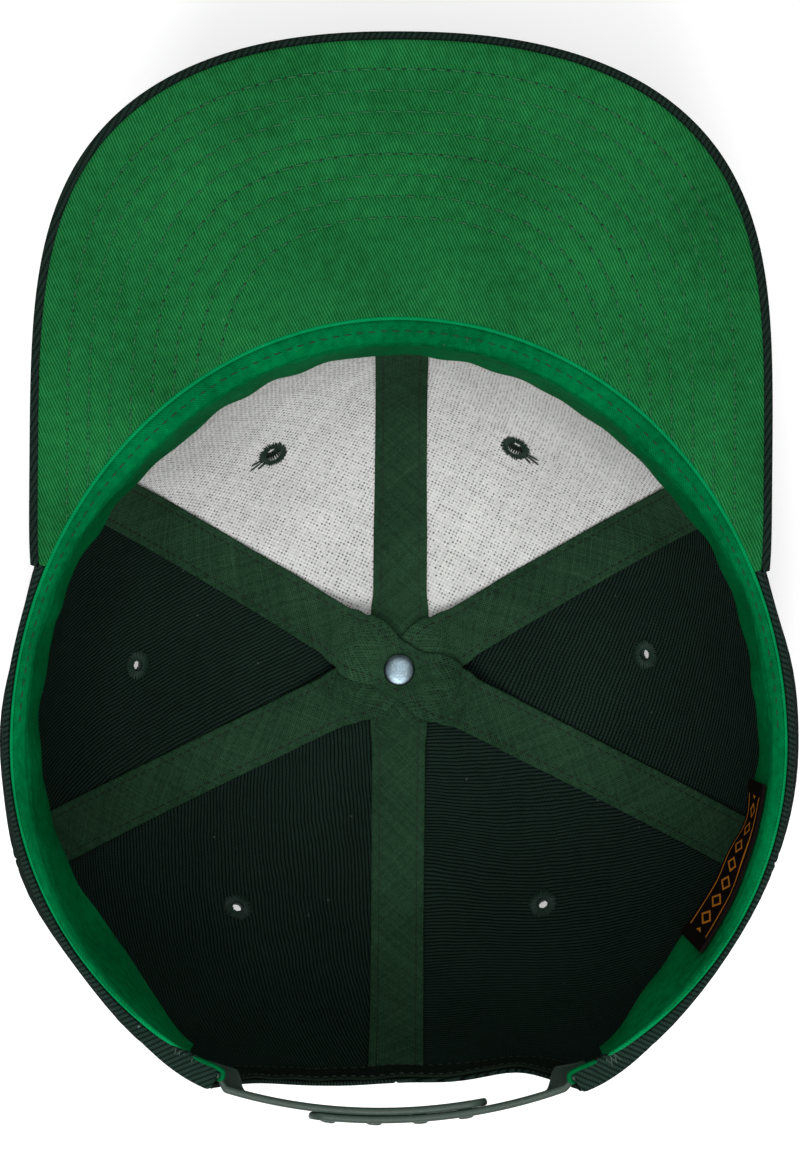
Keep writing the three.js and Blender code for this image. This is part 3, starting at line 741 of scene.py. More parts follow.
def open_group(
    name: str, kind: str, inputs: dict[str, tuple[str, object]], outputs: dict[str, str]
) -> tuple:
    """Starts a node group with named inputs and outputs.

    Args:
        name: The group's name.
        kind: The kind of tree.
        inputs: Socket type and standard value of each input.
        outputs: Socket type of each output.

    Returns:
        The tree, its builder, its input node and its output node.
    """
    tree = bpy.data.node_groups.new(name, kind)
    for label, (socket, value) in inputs.items():
        made = tree.interface.new_socket(label, in_out="INPUT", socket_type=socket)
        if value is not None:
            made.default_value = value
    for label, socket in outputs.items():
        tree.interface.new_socket(label, in_out="OUTPUT", socket_type=socket)
    build = TreeBuilder(tree)
    return tree, build, build.node("NodeGroupInput"), build.node("NodeGroupOutput")


def stitch_tree() -> bpy.types.NodeTree:
    """Builds the tree that lays one thread stitch at each step of its paths.

    Returns:
        The tree. Its paths carry the direction away from the cloth in the attribute "up".
    """
    tree, build, start, end = open_group(
        "Stitches along paths",
        "GeometryNodeTree",
        {
            "Paths": ("NodeSocketGeometry", None),
            "Pitch": ("NodeSocketFloat", 0.003),
            "Length": ("NodeSocketFloat", 0.002),
            "Thickness": ("NodeSocketFloat", 0.0004),
            "Slant": ("NodeSocketFloat", 0.0),
            "Uneven": ("NodeSocketFloat", 0.1),
            "Seed": ("NodeSocketInt", 1),
            "Finish": ("NodeSocketMaterial", None),
        },
        {"Geometry": "NodeSocketGeometry"},
    )
    curves = build.node("GeometryNodeMeshToCurve", {"Mesh": start.outputs["Paths"]})
    steps = build.node(
        "GeometryNodeResampleCurve",
        {"Curve": curves.outputs[0], "Length": start.outputs["Pitch"]},
        mode="LENGTH",
    )
    up = build.node("GeometryNodeInputNamedAttribute", {"Name": "up"}, data_type="FLOAT_VECTOR")
    tangent = build.node("GeometryNodeInputTangent")
    beside = build.node(
        "ShaderNodeVectorMath", {0: tangent.outputs[0], 1: up.outputs[0]}, operation="CROSS_PRODUCT"
    )
    leaning = build.node(
        "ShaderNodeVectorMath", {0: beside.outputs[0], "Scale": start.outputs["Slant"]}, operation="SCALE"
    )
    along = build.node(
        "ShaderNodeVectorMath", {0: tangent.outputs[0], 1: leaning.outputs[0]}, operation="ADD"
    )
    turned = build.node(
        "FunctionNodeAxesToRotation",
        {"Primary Axis": up.outputs[0], "Secondary Axis": along.outputs[0]},
        primary_axis="Z",
        secondary_axis="X",
    )
    low = build.math("SUBTRACT", 1.0, start.outputs["Uneven"])
    high = build.math("ADD", 1.0, start.outputs["Uneven"])
    chance = build.node(
        "FunctionNodeRandomValue", {2: low, 3: high, "Seed": start.outputs["Seed"]}, data_type="FLOAT"
    )
    size = build.node("ShaderNodeCombineXYZ", {0: chance.outputs[1], 1: 1.0, 2: 1.0})
    placed = build.node(
        "GeometryNodeInstanceOnPoints",
        {
            "Points": steps.outputs[0],
            "Instance": thread_shape(build, start.outputs["Length"], start.outputs["Thickness"]),
            "Rotation": turned.outputs[0],
            "Scale": size.outputs[0],
        },
    )
    finish_tree(build, placed.outputs[0], start, end)
    return tree


def thread_tree() -> bpy.types.NodeTree:
    """Builds the tree that lays one thread at each point.

    Returns:
        The tree. Its points carry the directions "along" and "up" and the threads' own length in "reach".
    """
    tree, build, start, end = open_group(
        "Threads on points",
        "GeometryNodeTree",
        {
            "Points": ("NodeSocketGeometry", None),
            "Thickness": ("NodeSocketFloat", 0.0004),
            "Uneven": ("NodeSocketFloat", 0.1),
            "Seed": ("NodeSocketInt", 1),
            "Finish": ("NodeSocketMaterial", None),
        },
        {"Geometry": "NodeSocketGeometry"},
    )
    up = build.node("GeometryNodeInputNamedAttribute", {"Name": "up"}, data_type="FLOAT_VECTOR")
    along = build.node("GeometryNodeInputNamedAttribute", {"Name": "along"}, data_type="FLOAT_VECTOR")
    reach = build.node("GeometryNodeInputNamedAttribute", {"Name": "reach"}, data_type="FLOAT")
    turned = build.node(
        "FunctionNodeAxesToRotation",
        {"Primary Axis": along.outputs[0], "Secondary Axis": up.outputs[0]},
        primary_axis="X",
        secondary_axis="Z",
    )
    low = build.math("SUBTRACT", 1.0, start.outputs["Uneven"])
    high = build.math("ADD", 1.0, start.outputs["Uneven"])
    chance = build.node(
        "FunctionNodeRandomValue", {2: low, 3: high, "Seed": start.outputs["Seed"]}, data_type="FLOAT"
    )
    length = build.math("MULTIPLY", reach.outputs[0], chance.outputs[1])
    size = build.node("ShaderNodeCombineXYZ", {0: length, 1: 1.0, 2: 1.0})
    placed = build.node(
        "GeometryNodeInstanceOnPoints",
        {
            "Points": start.outputs["Points"],
            "Instance": thread_shape(build, 1.0, start.outputs["Thickness"]),
            "Rotation": turned.outputs[0],
            "Scale": size.outputs[0],
        },
    )
    finish_tree(build, placed.outputs[0], start, end)
    return tree


def thread_shape(build: TreeBuilder, length: object, thickness: object) -> bpy.types.NodeSocket:
    """Adds one thread, rounded at both ends, of a length and thickness, and returns its geometry."""
    ball = build.node("GeometryNodeMeshUVSphere", {"Segments": 6, "Rings": 4, "Radius": 0.5})
    scale = build.node("ShaderNodeCombineXYZ", {0: length, 1: thickness, 2: thickness})
    upright = build.node("GeometryNodeTransform", {0: ball.outputs[0], "Rotation": (0.0, math.pi / 2, 0.0)})
    return build.node("GeometryNodeTransform", {0: upright.outputs[0], "Scale": scale.outputs[0]}).outputs[0]


def finish_tree(
    build: TreeBuilder, geometry: bpy.types.NodeSocket, start: bpy.types.Node, end: bpy.types.Node
) -> None:
    """Ends a tree with real geometry, smooth shading and its finish."""
    real = build.node("GeometryNodeRealizeInstances", {0: geometry})
    smooth = build.node("GeometryNodeSetShadeSmooth", {"Geometry": real.outputs[0]})
    dressed = build.node(
        "GeometryNodeSetMaterial", {"Geometry": smooth.outputs[0], "Material": start.outputs["Finish"]}
    )
    build.tree.links.new(dressed.outputs[0], end.inputs[0])


def run_tree(
    name: str, carrier: bpy.types.Mesh, tree: bpy.types.NodeTree, values: dict[str, object]
) -> bpy.types.Object:
    """Runs a geometry tree on a mesh and keeps the result as a plain mesh.

    Args:
        name: The new piece's name.
        carrier: The mesh that the tree starts from.
        tree: The geometry tree.
        values: Values for its named inputs.

    Returns:
        The new piece.
    """
    source = bpy.data.objects.new(name + "_paths", carrier)
    bpy.context.scene.collection.objects.link(source)
    modifier = source.modifiers.new("Threads", "NODES")
    modifier.node_group = tree
    for label, value in values.items():
        modifier[input_key(tree, label)] = value
    bpy.context.view_layer.update()
    graph = bpy.context.evaluated_depsgraph_get()
    mesh = bpy.data.meshes.new_from_object(source.evaluated_get(graph))
    mesh.name = name
    bpy.data.objects.remove(source)
    bpy.data.meshes.remove(carrier)
    for attribute in ("up", "along", "reach"):
        if attribute in mesh.attributes:
            mesh.attributes.remove(mesh.attributes[attribute])
    piece = bpy.data.objects.new(name, mesh)
    bpy.context.scene.collection.objects.link(piece)
    return piece


class Path(NamedTuple):
    """A line of stitches: its points, and the direction away from the cloth at each."""

    points: np.ndarray
    ups: np.ndarray


def path_mesh(name: str, paths: Sequence[Path]) -> bpy.types.Mesh:
    """A mesh of open lines that carries "up" on its points."""
    points = np.concatenate([path.points for path in paths]) * METRES
    ups = np.concatenate([path.ups for path in paths])
    edges, first = [], 0
    for path in paths:
        edges += [(first + k, first + k + 1) for k in range(len(path.points) - 1)]
        first += len(path.points)
    mesh = bpy.data.meshes.new(name)
    mesh.from_pydata(points.tolist(), edges, [])
    attribute = mesh.attributes.new("up", "FLOAT_VECTOR", "POINT")
    attribute.data.foreach_set("vector", ups.astype(np.float32).ravel())
    return mesh


def thread_mesh(
    name: str, points: np.ndarray, along: np.ndarray, ups: np.ndarray, reach: np.ndarray
) -> bpy.types.Mesh:
    """A mesh of loose points that carry "along", "up" and "reach", the last in metres."""
    mesh = bpy.data.meshes.new(name)
    mesh.from_pydata((points * METRES).tolist(), [], [])
    for label, values in (("along", along), ("up", ups)):
        mesh.attributes.new(label, "FLOAT_VECTOR", "POINT").data.foreach_set(
            "vector", values.astype(np.float32).ravel()
        )
    lengths = mesh.attributes.new("reach", "FLOAT", "POINT").data
    lengths.foreach_set("value", (reach * METRES).astype(np.float32))
    return mesh


@dataclass
class Dresser:
    """Gives finished pieces their material and body, and hides the CAD nodes that they stand for."""

    materials: dict[str, bpy.types.Material]
    made: int = 0

    def dress(
        self, piece: bpy.types.Object, material: str, replaced: Sequence[str] = ()
    ) -> bpy.types.Object:
        """Finishes one piece.

        Args:
            piece: The piece, in place.
            material: Name of its material.
            replaced: CAD nodes that the piece stands for.

        Returns:
            The piece.
        """
        piece.data.materials.clear()
        piece.data.materials.append(self.materials[material])
        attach(piece, BODY)
        if replaced:
            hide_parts(*replaced)
        self.made += 1
        LOG.info("%s: %d faces", piece.name, len(piece.data.polygons))
        return piece


@dataclass
class Crown:
    """The six panels of the crown and the two stiffeners inside its front."""

    form: CapForm = FORM
    seam_margin: float = 0.15
    seam_columns: tuple[float, ...] = (0.15, 0.3, 0.5, 0.75, 1.1, 1.7, 2.4, 3.2, 4.4)
    middle_columns: int = 22
    arch_columns: int = 22
    seam_room: float = 24.0
    eyelet_hole: float = 2.0
    lined_hole: float = 2.2
    stiffener_start: float = 13.0
    stiffener_margin: float = 3.6
    hem_margin: float = 3.6
    topstitch_offset: float = 2.4

    def base_rows(self) -> np.ndarray:
        """Rows of places from the button to the rim, before any arch."""
        floor = [0, 0.4, 0.8, 1, 1.25, 1.5, 1.75, 2, 2.25, 2.5, 2.75, 3, 3.33, 3.66]
        side = np.arange(self.form.first_side_row, self.form.last_row - 0.15, 0.2)
        return np.concatenate([floor, side])

    def arch_angle(self, x: np.ndarray, row: np.ndarray) -> np.ndarray:
        """Directions, counted from the peak, in which the crown is as far from the middle as x at a row."""
        low, high = np.full(len(x), 90.0), np.full(len(x), 180.0)
        side = np.where(x < 0, -1.0, 1.0)
        for _ in range(40):
            middle = (low + high) / 2
            wide = np.abs(self.form.surface(side * middle, row)[:, 0]) > np.abs(x)
            low, high = np.where(wide, middle, low), np.where(wide, high, middle)
        return side * low

    def panel_grid(self, panel: Panel) -> tuple[np.ndarray, int, int, np.ndarray]:
        """Places of one panel's grid.

        Args:
            panel: The panel.

        Returns:
            Direction and row of each place, the numbers of rows and columns, and each place's distance from
            the nearest edge of the panel in millimetres.
        """
        form = self.form
        base = self.base_rows()
        edge_steps = np.array([1.2, 0.75, 0.45, 0.25, 0.1, 0.0])
        offsets = np.array(self.seam_columns)
        middle = (panel.start + panel.end) / 2
        mid_points = form.surface(np.full(len(base), middle), base)
        rim = form.rim_radius(middle)
        mid_radii = np.hypot(mid_points[:, 0], mid_points[:, 1])
        radii = np.concatenate([mid_radii, np.full(len(edge_steps), float(rim))])
        span = np.radians(panel.end - panel.start)
        room = np.minimum(1, radii * span / self.seam_room)
        near = np.degrees(offsets[None, :] * room[:, None] / radii[:, None])
        if panel.cut:
            mirrored = panel.start == 180
            turns = np.linspace(0, math.acos(5.4 / form.arch_half_width), self.arch_columns)
            xs = np.concatenate([form.arch_half_width * np.cos(turns), offsets[::-1]])
            depth = form.arch_height * np.sqrt(np.maximum(1 - (xs / form.arch_half_width) ** 2, 0))
            heights = form.crown_depth - depth
            arch_rows = form.row_at_height(heights)
            arch_degrees = self.arch_angle(xs, arch_rows)
            start = panel.start if not mirrored else 360 - panel.end
            share = np.linspace(0, 1, 14)[1:-1]
            last_near = start + near[:, -1:]
            between = last_near + (arch_degrees[0] - last_near) * share[None, :]
            columns = np.concatenate(
                [start + near, between, np.tile(arch_degrees, (len(radii), 1))], axis=1
            )
            tops = np.concatenate([np.full(len(offsets) + len(share), form.crown_depth), heights])
            clear = np.full(len(share) + self.arch_columns, 20.0)
            seam_distance = np.concatenate([offsets, clear, offsets[::-1]])
            if mirrored:
                columns, tops, seam_distance = 360 - columns[:, ::-1], tops[::-1], seam_distance[::-1]
        else:
            share = np.linspace(0, 1, self.middle_columns + 2)[1:-1]
            first, last = panel.start + near[:, -1:], panel.end - near[:, -1:]
            between = first + (last - first) * share[None, :]
            columns = np.concatenate([panel.start + near, between, panel.end - near[:, ::-1]], axis=1)
            tops = np.full(columns.shape[1], form.crown_depth)
            seam_distance = np.concatenate([offsets, np.full(len(share), 20.0), offsets[::-1]])
        top_rows = form.row_at_height(tops)
        rows = base[:, None] * top_rows[None, :] / form.last_row
        close = np.stack([form.row_at_height(tops - step) for step in edge_steps])
        rows = np.concatenate([np.minimum(rows, close[:1] - 0.02), close])
        lift = np.concatenate([np.full(len(base), 20.0), edge_steps])
        distance = np.minimum(seam_distance[None, :] - self.seam_margin, lift[:, None])
        places = np.stack([columns, rows], axis=-1).reshape(-1, 2)
        return places, *columns.shape, distance.ravel()

    def eyelet_middle(self, eyelet: EyeletPlace) -> tuple[float, float]:
        """Direction and row of an eyelet's middle."""
        panel = PANELS[eyelet.panel]
        degrees = panel.start + (panel.end - panel.start) * eyelet.turn
        return degrees, float(self.form.row_at_radius(degrees, self.form.rim_radius(degrees) * eyelet.reach))

    def hole(self, eyelet: EyeletPlace, radius: float) -> tuple[np.ndarray, np.ndarray, float]:
        """An eyelet's hole as punch() takes it."""
        degrees, row = self.eyelet_middle(eyelet)
        around = self.form.surface(np.array([degrees - 0.5, degrees + 0.5]), np.array([row, row]))
        along = self.form.surface(np.array([degrees, degrees]), np.array([row - 0.05, row + 0.05]))
        scale = np.array([np.linalg.norm(around[1] - around[0]), np.linalg.norm(along[1] - along[0]) / 0.1])
        return np.array([degrees, row]), scale, radius

    def flat_cloth(self, panel: Panel, places: np.ndarray) -> np.ndarray:
        """Each place's position on the panel's flat cloth, in millimetres."""
        middle = (panel.start + panel.end) / 2
        rows = np.linspace(0, self.form.last_row, 400)
        line = self.form.surface(np.full(len(rows), middle), rows)
        length = np.concatenate([[0], np.cumsum(np.linalg.norm(np.diff(line, axis=0), axis=1))])
        along = np.interp(places[:, 1], rows, length)
        radius = np.interp(places[:, 1], rows, np.hypot(line[:, 0], line[:, 1]))
        turn = np.radians(places[:, 0] - middle)
        x, y = radius * np.sin(turn), along - radius * (1 - np.cos(turn))
        spin = math.radians(middle)
        cosine, sine = math.cos(spin), math.sin(spin)
        return np.stack([x * cosine + y * sine, y * cosine - x * sine], axis=1)

    def panel(self, panel: Panel) -> bpy.types.Object:
        """Makes one panel with its eyelet hole, rolled seam edges and rolled hem."""
        form = self.form
        places, rows, columns, distance = self.panel_grid(panel)
        eyelet = next(item for item in EYELETS if PANELS[item.panel] is panel)
        size = self.lined_hole if panel.lined else self.eyelet_hole
        everything, faces = punch(places, rows, columns, [self.hole(eyelet, size)], 6.0)
        distance = np.concatenate([distance, np.full(len(everything) - len(places), 20.0)])
        half = form.panel_wall / 2
        thick = half * rounded(distance, half)
        dip = 0.14 * bell(distance - self.topstitch_offset, 0.55)
        middle = half + dip
        front = form.crown(everything[:, 0], everything[:, 1], middle - thick)
        back = form.crown(everything[:, 0], everything[:, 1], middle + thick)
        piece = Sheet(front, back, faces, self.flat_cloth(panel, everything)).build("cloth_" + panel.name)
        return piece

    def stiffener(self, panel: Panel) -> bpy.types.Object:
        """Makes the stiffener inside one front panel."""
        form = self.form
        middle = (panel.start + panel.end) / 2
        first = float(form.row_at_radius(middle, self.stiffener_start))
        last = float(form.row_at_height(form.crown_depth - self.hem_margin))
        rows = np.linspace(first, last, 60)
        line = form.surface(np.full(len(rows), middle), rows)
        margin = np.degrees(np.arcsin(self.stiffener_margin / np.hypot(line[:, 0], line[:, 1])))
        share = np.linspace(0, 1, 40)
        start, end = panel.start + margin[:, None], panel.end - margin[:, None]
        degrees = start + (end - start) * share[None, :]
        places = np.stack([degrees, np.tile(rows[:, None], (1, len(share)))], axis=-1).reshape(-1, 2)
        eyelet = next(item for item in EYELETS if PANELS[item.panel] is panel)
        everything, faces = punch(places, len(rows), len(share), [self.hole(eyelet, self.lined_hole)], 6.0)
        inset = form.lining_inset + 0.12 * waves(everything[:, 0] / 14, everything[:, 1], 5)
        front = form.crown(everything[:, 0], everything[:, 1], inset - 0.1)
        back = form.crown(everything[:, 0], everything[:, 1], inset + form.stiffener_wall)
        name = panel.name.replace("panel_front", "stiffener")
        return Sheet(front, back, faces, self.flat_cloth(panel, everything)).build("cloth_" + name)

    def seam(self, degrees: float) -> bpy.types.Object:
        """Makes the pressed seam allowance between two panels."""
        form = self.form
        last = form.last_row - 0.04
        if abs(signed(degrees)) > 170:
            last = float(form.row_at_height(form.crown_depth - form.arch_height - 0.5))
        rows = np.linspace(1.2, last, 70)
        line = form.surface(np.full(len(rows), degrees), rows)
        spread = np.degrees(1.6 / np.hypot(line[:, 0], line[:, 1]))
        turns = degrees + spread[:, None] * np.linspace(-1, 1, 7)[None, :]
        places = np.stack([turns, np.tile(rows[:, None], (1, 7))], axis=-1).reshape(-1, 2)
        front = form.crown(places[:, 0], places[:, 1], 0.34)
        back = form.crown(places[:, 0], places[:, 1], form.panel_wall - 0.2)
        name = f"cloth_seam_{round(degrees) % 360}"
        return Sheet(front, back, grid_faces(len(rows), 7), places * 1.5).build(name)

    def build(self, dresser: Dresser) -> None:
        """Makes and dresses the panels, the seams and the stiffeners."""
        for panel in PANELS:
            dresser.dress(self.seam(panel.start), "rim_cloth")
            dresser.dress(self.panel(panel), panel.name, [panel.name])
            if panel.lined:
                name = panel.name.replace("panel_front", "stiffener")
                dresser.dress(self.stiffener(panel), "buckram", [name])


class TapeRun(NamedTuple):
    """A seam tape: the two seams that it joins, its level over the button, and which sides are lined."""

    name: str
    start: float
    end: float
    level: int
    low: bool
    high: bool


@dataclass
class Tapes:
    """The three seam tapes and the binding of the arch."""

    form: CapForm = FORM
    crown: Crown = field(default_factory=Crown)
    width: float = 14.5
    wall: float = 1.0
    stack_radius: float = 18.0
    settle_radius: float = 34.0
    hem_margin: float = 3.6
    arch_width: float = 7.4
    stitch_margin: float = 2.1
    runs: tuple[TapeRun, ...] = (
        TapeRun("tape_front_back", 0, 180, 0, True, True),
        TapeRun("tape_left_front", 59, -116, 1, True, False),
        TapeRun("tape_right_front", -59, 116, 2, False, True),
    )

    def across(self) -> np.ndarray:
        """Places across a tape, from one edge to the other."""
        half = [7.25, 7.15, 6.95, 6.6, 6.1, 5.55, 5.15, 4.7, 4.0, 3.2, 2.2, 1.1]
        return np.array([-value for value in half] + [0.0] + half[::-1])

    def station(
        self, run: TapeRun, forward: bool, radius: float, row: float | None
    ) -> tuple[np.ndarray, np.ndarray]:
        """Points across the tape at one station of one of its halves.

        Args:
            run: The tape.
            forward: True on the half towards its first seam.
            radius: Distance of the station from the button.
            row: The crown's row there, or None on the crown's floor.

        Returns:
            Points of the tape's face against the crown and of its face towards the wearer.
        """
        form = self.form
        degrees = run.start if forward else run.end
        side = 1 if forward else -1
        offset = self.across()
        ease = smoothstep(radius, self.stack_radius, self.settle_radius)
        stacked = form.lining_top + form.stack_gap + run.level * (self.wall + form.stack_gap)
        lined_low = 1.0 if forward and run.low else 0.0
        lined_high = 1.0 if forward and run.high else 0.0
        lined = lined_low + (lined_high - lined_low) * smoothstep(offset, -3.4, 3.4)
        if lined_low and lined_high:
            lined = lined - 0.35 * bell(offset, 2.4)
        settled = form.lining_inset + lined * (form.stiffener_wall + form.gap)
        inset = stacked + (settled - stacked) * ease
        half = self.wall / 2
        thick = half * rounded(self.width / 2 - np.abs(offset), half)
        place = side * (radius + 30.0)
        wrinkle = 0.16 * waves(np.full(len(offset), place / 17), offset / 15, 11 + run.level)
        dip = 0.16 * bell(np.abs(offset) - (self.width / 2 - self.stitch_margin), 0.5)
        middle = inset + half + wrinkle + dip * -1
        placed = offset * side
        if row is None:
            turn = math.radians(degrees)
            x = radius * math.sin(turn) + placed * math.cos(turn)
            y = radius * math.cos(turn) - placed * math.sin(turn)
            return form.over(x, y, middle - thick), form.over(x, y, middle + thick)
        around = degrees + np.degrees(np.arcsin(placed / radius))
        rows = np.full(len(offset), row)
        return form.crown(around, rows, middle - thick), form.crown(around, rows, middle + thick)

    def half(self, run: TapeRun, forward: bool) -> tuple[list[tuple[np.ndarray, np.ndarray]], list[float]]:
        """Stations of one half of a tape, from the button outwards, and how far along the tape each lies."""
        form = self.form
        degrees = run.start if forward else run.end
        to_arch = not forward and run.end == 180
        depth = form.arch_height + self.arch_width + form.gap if to_arch else self.hem_margin
        last = float(form.row_at_height(form.crown_depth - depth))
        radii = np.arange(3.0, self.settle_radius, 1.5)
        stations = [self.station(run, forward, float(radius), None) for radius in radii]
        first = float(form.row_at_radius(degrees, self.settle_radius + 1.0))
        rows = np.append(np.arange(first, last, 0.16), last)
        line = form.surface(np.full(len(rows), float(degrees)), rows)
        distance = np.hypot(line[:, 0], line[:, 1])
        stations += [
            self.station(run, forward, float(radius), float(row))
            for radius, row in zip(distance, rows, strict=True)
        ]
        steps = np.concatenate([[0], np.cumsum(np.linalg.norm(np.diff(line, axis=0), axis=1))])
        return stations, [*radii, *(self.settle_radius + 1.0 + steps)]

    def tape(self, run: TapeRun) -> tuple[bpy.types.Object, list[Path]]:
        """Makes one seam tape.

        Args:
            run: The tape.

        Returns:
            The tape and its stitch lines.
        """
        front, ahead = self.half(run, True)
        back, behind = self.half(run, False)
        stations = front[::-1] + back
        along = np.array([-value for value in ahead[::-1]] + behind)
        outer = np.stack([pair[0] for pair in stations])
        inner = np.stack([pair[1] for pair in stations])
        offset = self.across()
        cloth = np.stack(np.broadcast_arrays(offset[None, :], along[:, None]), axis=-1).reshape(-1, 2)
        faces = grid_faces(len(stations), len(offset))
        piece = Sheet(outer.reshape(-1, 3), inner.reshape(-1, 3), faces, cloth).build("cloth_" + run.name)
        paths = []
        for side in (-1, 1):
            column = int(np.argmin(np.abs(offset - side * (self.width / 2 - self.stitch_margin))))
            up = unit(inner[:, column] - outer[:, column])
            paths.append(Path(inner[:, column] + 0.05 * up, up))
        return piece, paths

    def arch_tape(self) -> tuple[bpy.types.Object, list[Path]]:
        """Makes the binding along the arch, and its stitch lines."""
        form = self.form
        outs = np.array([0, 0.1, 0.3, 0.6, 1.2, 1.8, 2.6, 3.7, 4.8, 5.6, 6.2, 6.8, 7.1, 7.3, 7.4])
        turns = np.linspace(0, np.pi, 91)
        outs_grid, turns_grid = np.meshgrid(outs, turns, indexing="ij")
        x = (form.arch_half_width + outs_grid) * np.cos(turns_grid)
        depth = np.maximum((form.arch_height + outs_grid) * np.sin(turns_grid), form.gap)
        row = form.row_at_height(form.crown_depth - depth).ravel()
        degrees = self.crown.arch_angle(x.ravel(), row)
        half = self.wall / 2
        away = np.minimum(outs_grid, self.arch_width - outs_grid).ravel()
        thick = half * rounded(away, half)
        wrinkle = 0.15 * waves(turns_grid.ravel() * 4, outs_grid.ravel() / 15, 31)
        middle = form.lining_inset + half + wrinkle
        outer = form.crown(degrees, row, middle - thick)
        inner = form.crown(degrees, row, middle + thick)
        cloth = np.stack([turns_grid.ravel() * form.arch_half_width, outs_grid.ravel()], axis=1)
        faces = grid_faces(len(outs), len(turns))
        piece = Sheet(outer, inner, faces, cloth).build("cloth_arch_tape")
        inner_grid, outer_grid = (points.reshape(len(outs), len(turns), 3) for points in (inner, outer))
        paths = []
        for level in (3, 11):
            up = unit(inner_grid[level] - outer_grid[level])
            paths.append(Path(inner_grid[level] + 0.05 * up, up))
        return piece, paths

    def build(self, dresser: Dresser, stitches: "Stitcher") -> None:
        """Makes and dresses the tapes, their binding and their stitches."""
        for run in self.runs:
            piece, paths = self.tape(run)
            dresser.dress(piece, "tape", [run.name])
            stitches.row(dresser, run.name + "_stitches", paths, "tape_thread", 2.5, 1.7)
        piece, paths = self.arch_tape()
        dresser.dress(piece, "arch_tape", ["arch_tape"])
        stitches.row(dresser, "arch_tape_stitches", paths, "tape_thread", 2.5, 1.7)


@dataclass
class Stitcher:
    """Lays stitches along paths and threads on points."""

    paths_tree: bpy.types.NodeTree
    threads_tree: bpy.types.NodeTree
    seed: int = 7

    def row(
        self,
        dresser: Dresser,
        name: str,
        paths: Sequence[Path],
        material: str,
        pitch: float,
        length: float,
        thickness: float = 0.38,
        slant: float = 0.06,
        uneven: float = 0.08,
    ) -> bpy.types.Object:
        """Sews stitches along paths.

        Args:
            dresser: Finishes the piece.
            name: The piece's name.
            paths: The stitch lines.
            material: Name of the thread's material.
            pitch: Millimetres from one stitch to the next.
            length: Millimetres of thread that show in each stitch.
            thickness: The thread's thickness in millimetres.
            slant: How far each stitch leans across its line, as a share of its length.
            uneven: How much the stitches' lengths vary, as a share.

        Returns:
            The finished stitches.
        """
        self.seed += 1
        values = {
            "Pitch": pitch * METRES,
            "Length": length * METRES,
            "Thickness": thickness * METRES,
            "Slant": slant,
            "Uneven": uneven,
            "Seed": self.seed,
            "Finish": dresser.materials[material],
        }
        piece = run_tree(name, path_mesh(name, paths), self.paths_tree, values)
        return dresser.dress(piece, material)

    def threads(
        self,
        dresser: Dresser,
        name: str,
        points: np.ndarray,
        along: np.ndarray,
        ups: np.ndarray,
        reach: np.ndarray,
        material: str,
        thickness: float,
        replaced: Sequence[str] = (),
    ) -> bpy.types.Object:
        """Lays one thread at each point.

        Args:
            dresser: Finishes the piece.
            name: The piece's name.
            points: The threads' middles.
            along: The threads' directions.
            ups: Directions away from the cloth.
            reach: The threads' lengths in millimetres.
            material: Name of the thread's material.
            thickness: The threads' thickness in millimetres.
            replaced: CAD nodes that the threads stand for.

        Returns:
            The finished threads.
        """
        self.seed += 1
        values = {
            "Thickness": thickness * METRES,
            "Uneven": 0.07,
            "Seed": self.seed,
            "Finish": dresser.materials[material],
        }
        piece = run_tree(name, thread_mesh(name, points, along, ups, reach), self.threads_tree, values)
        return dresser.dress(piece, material, replaced)


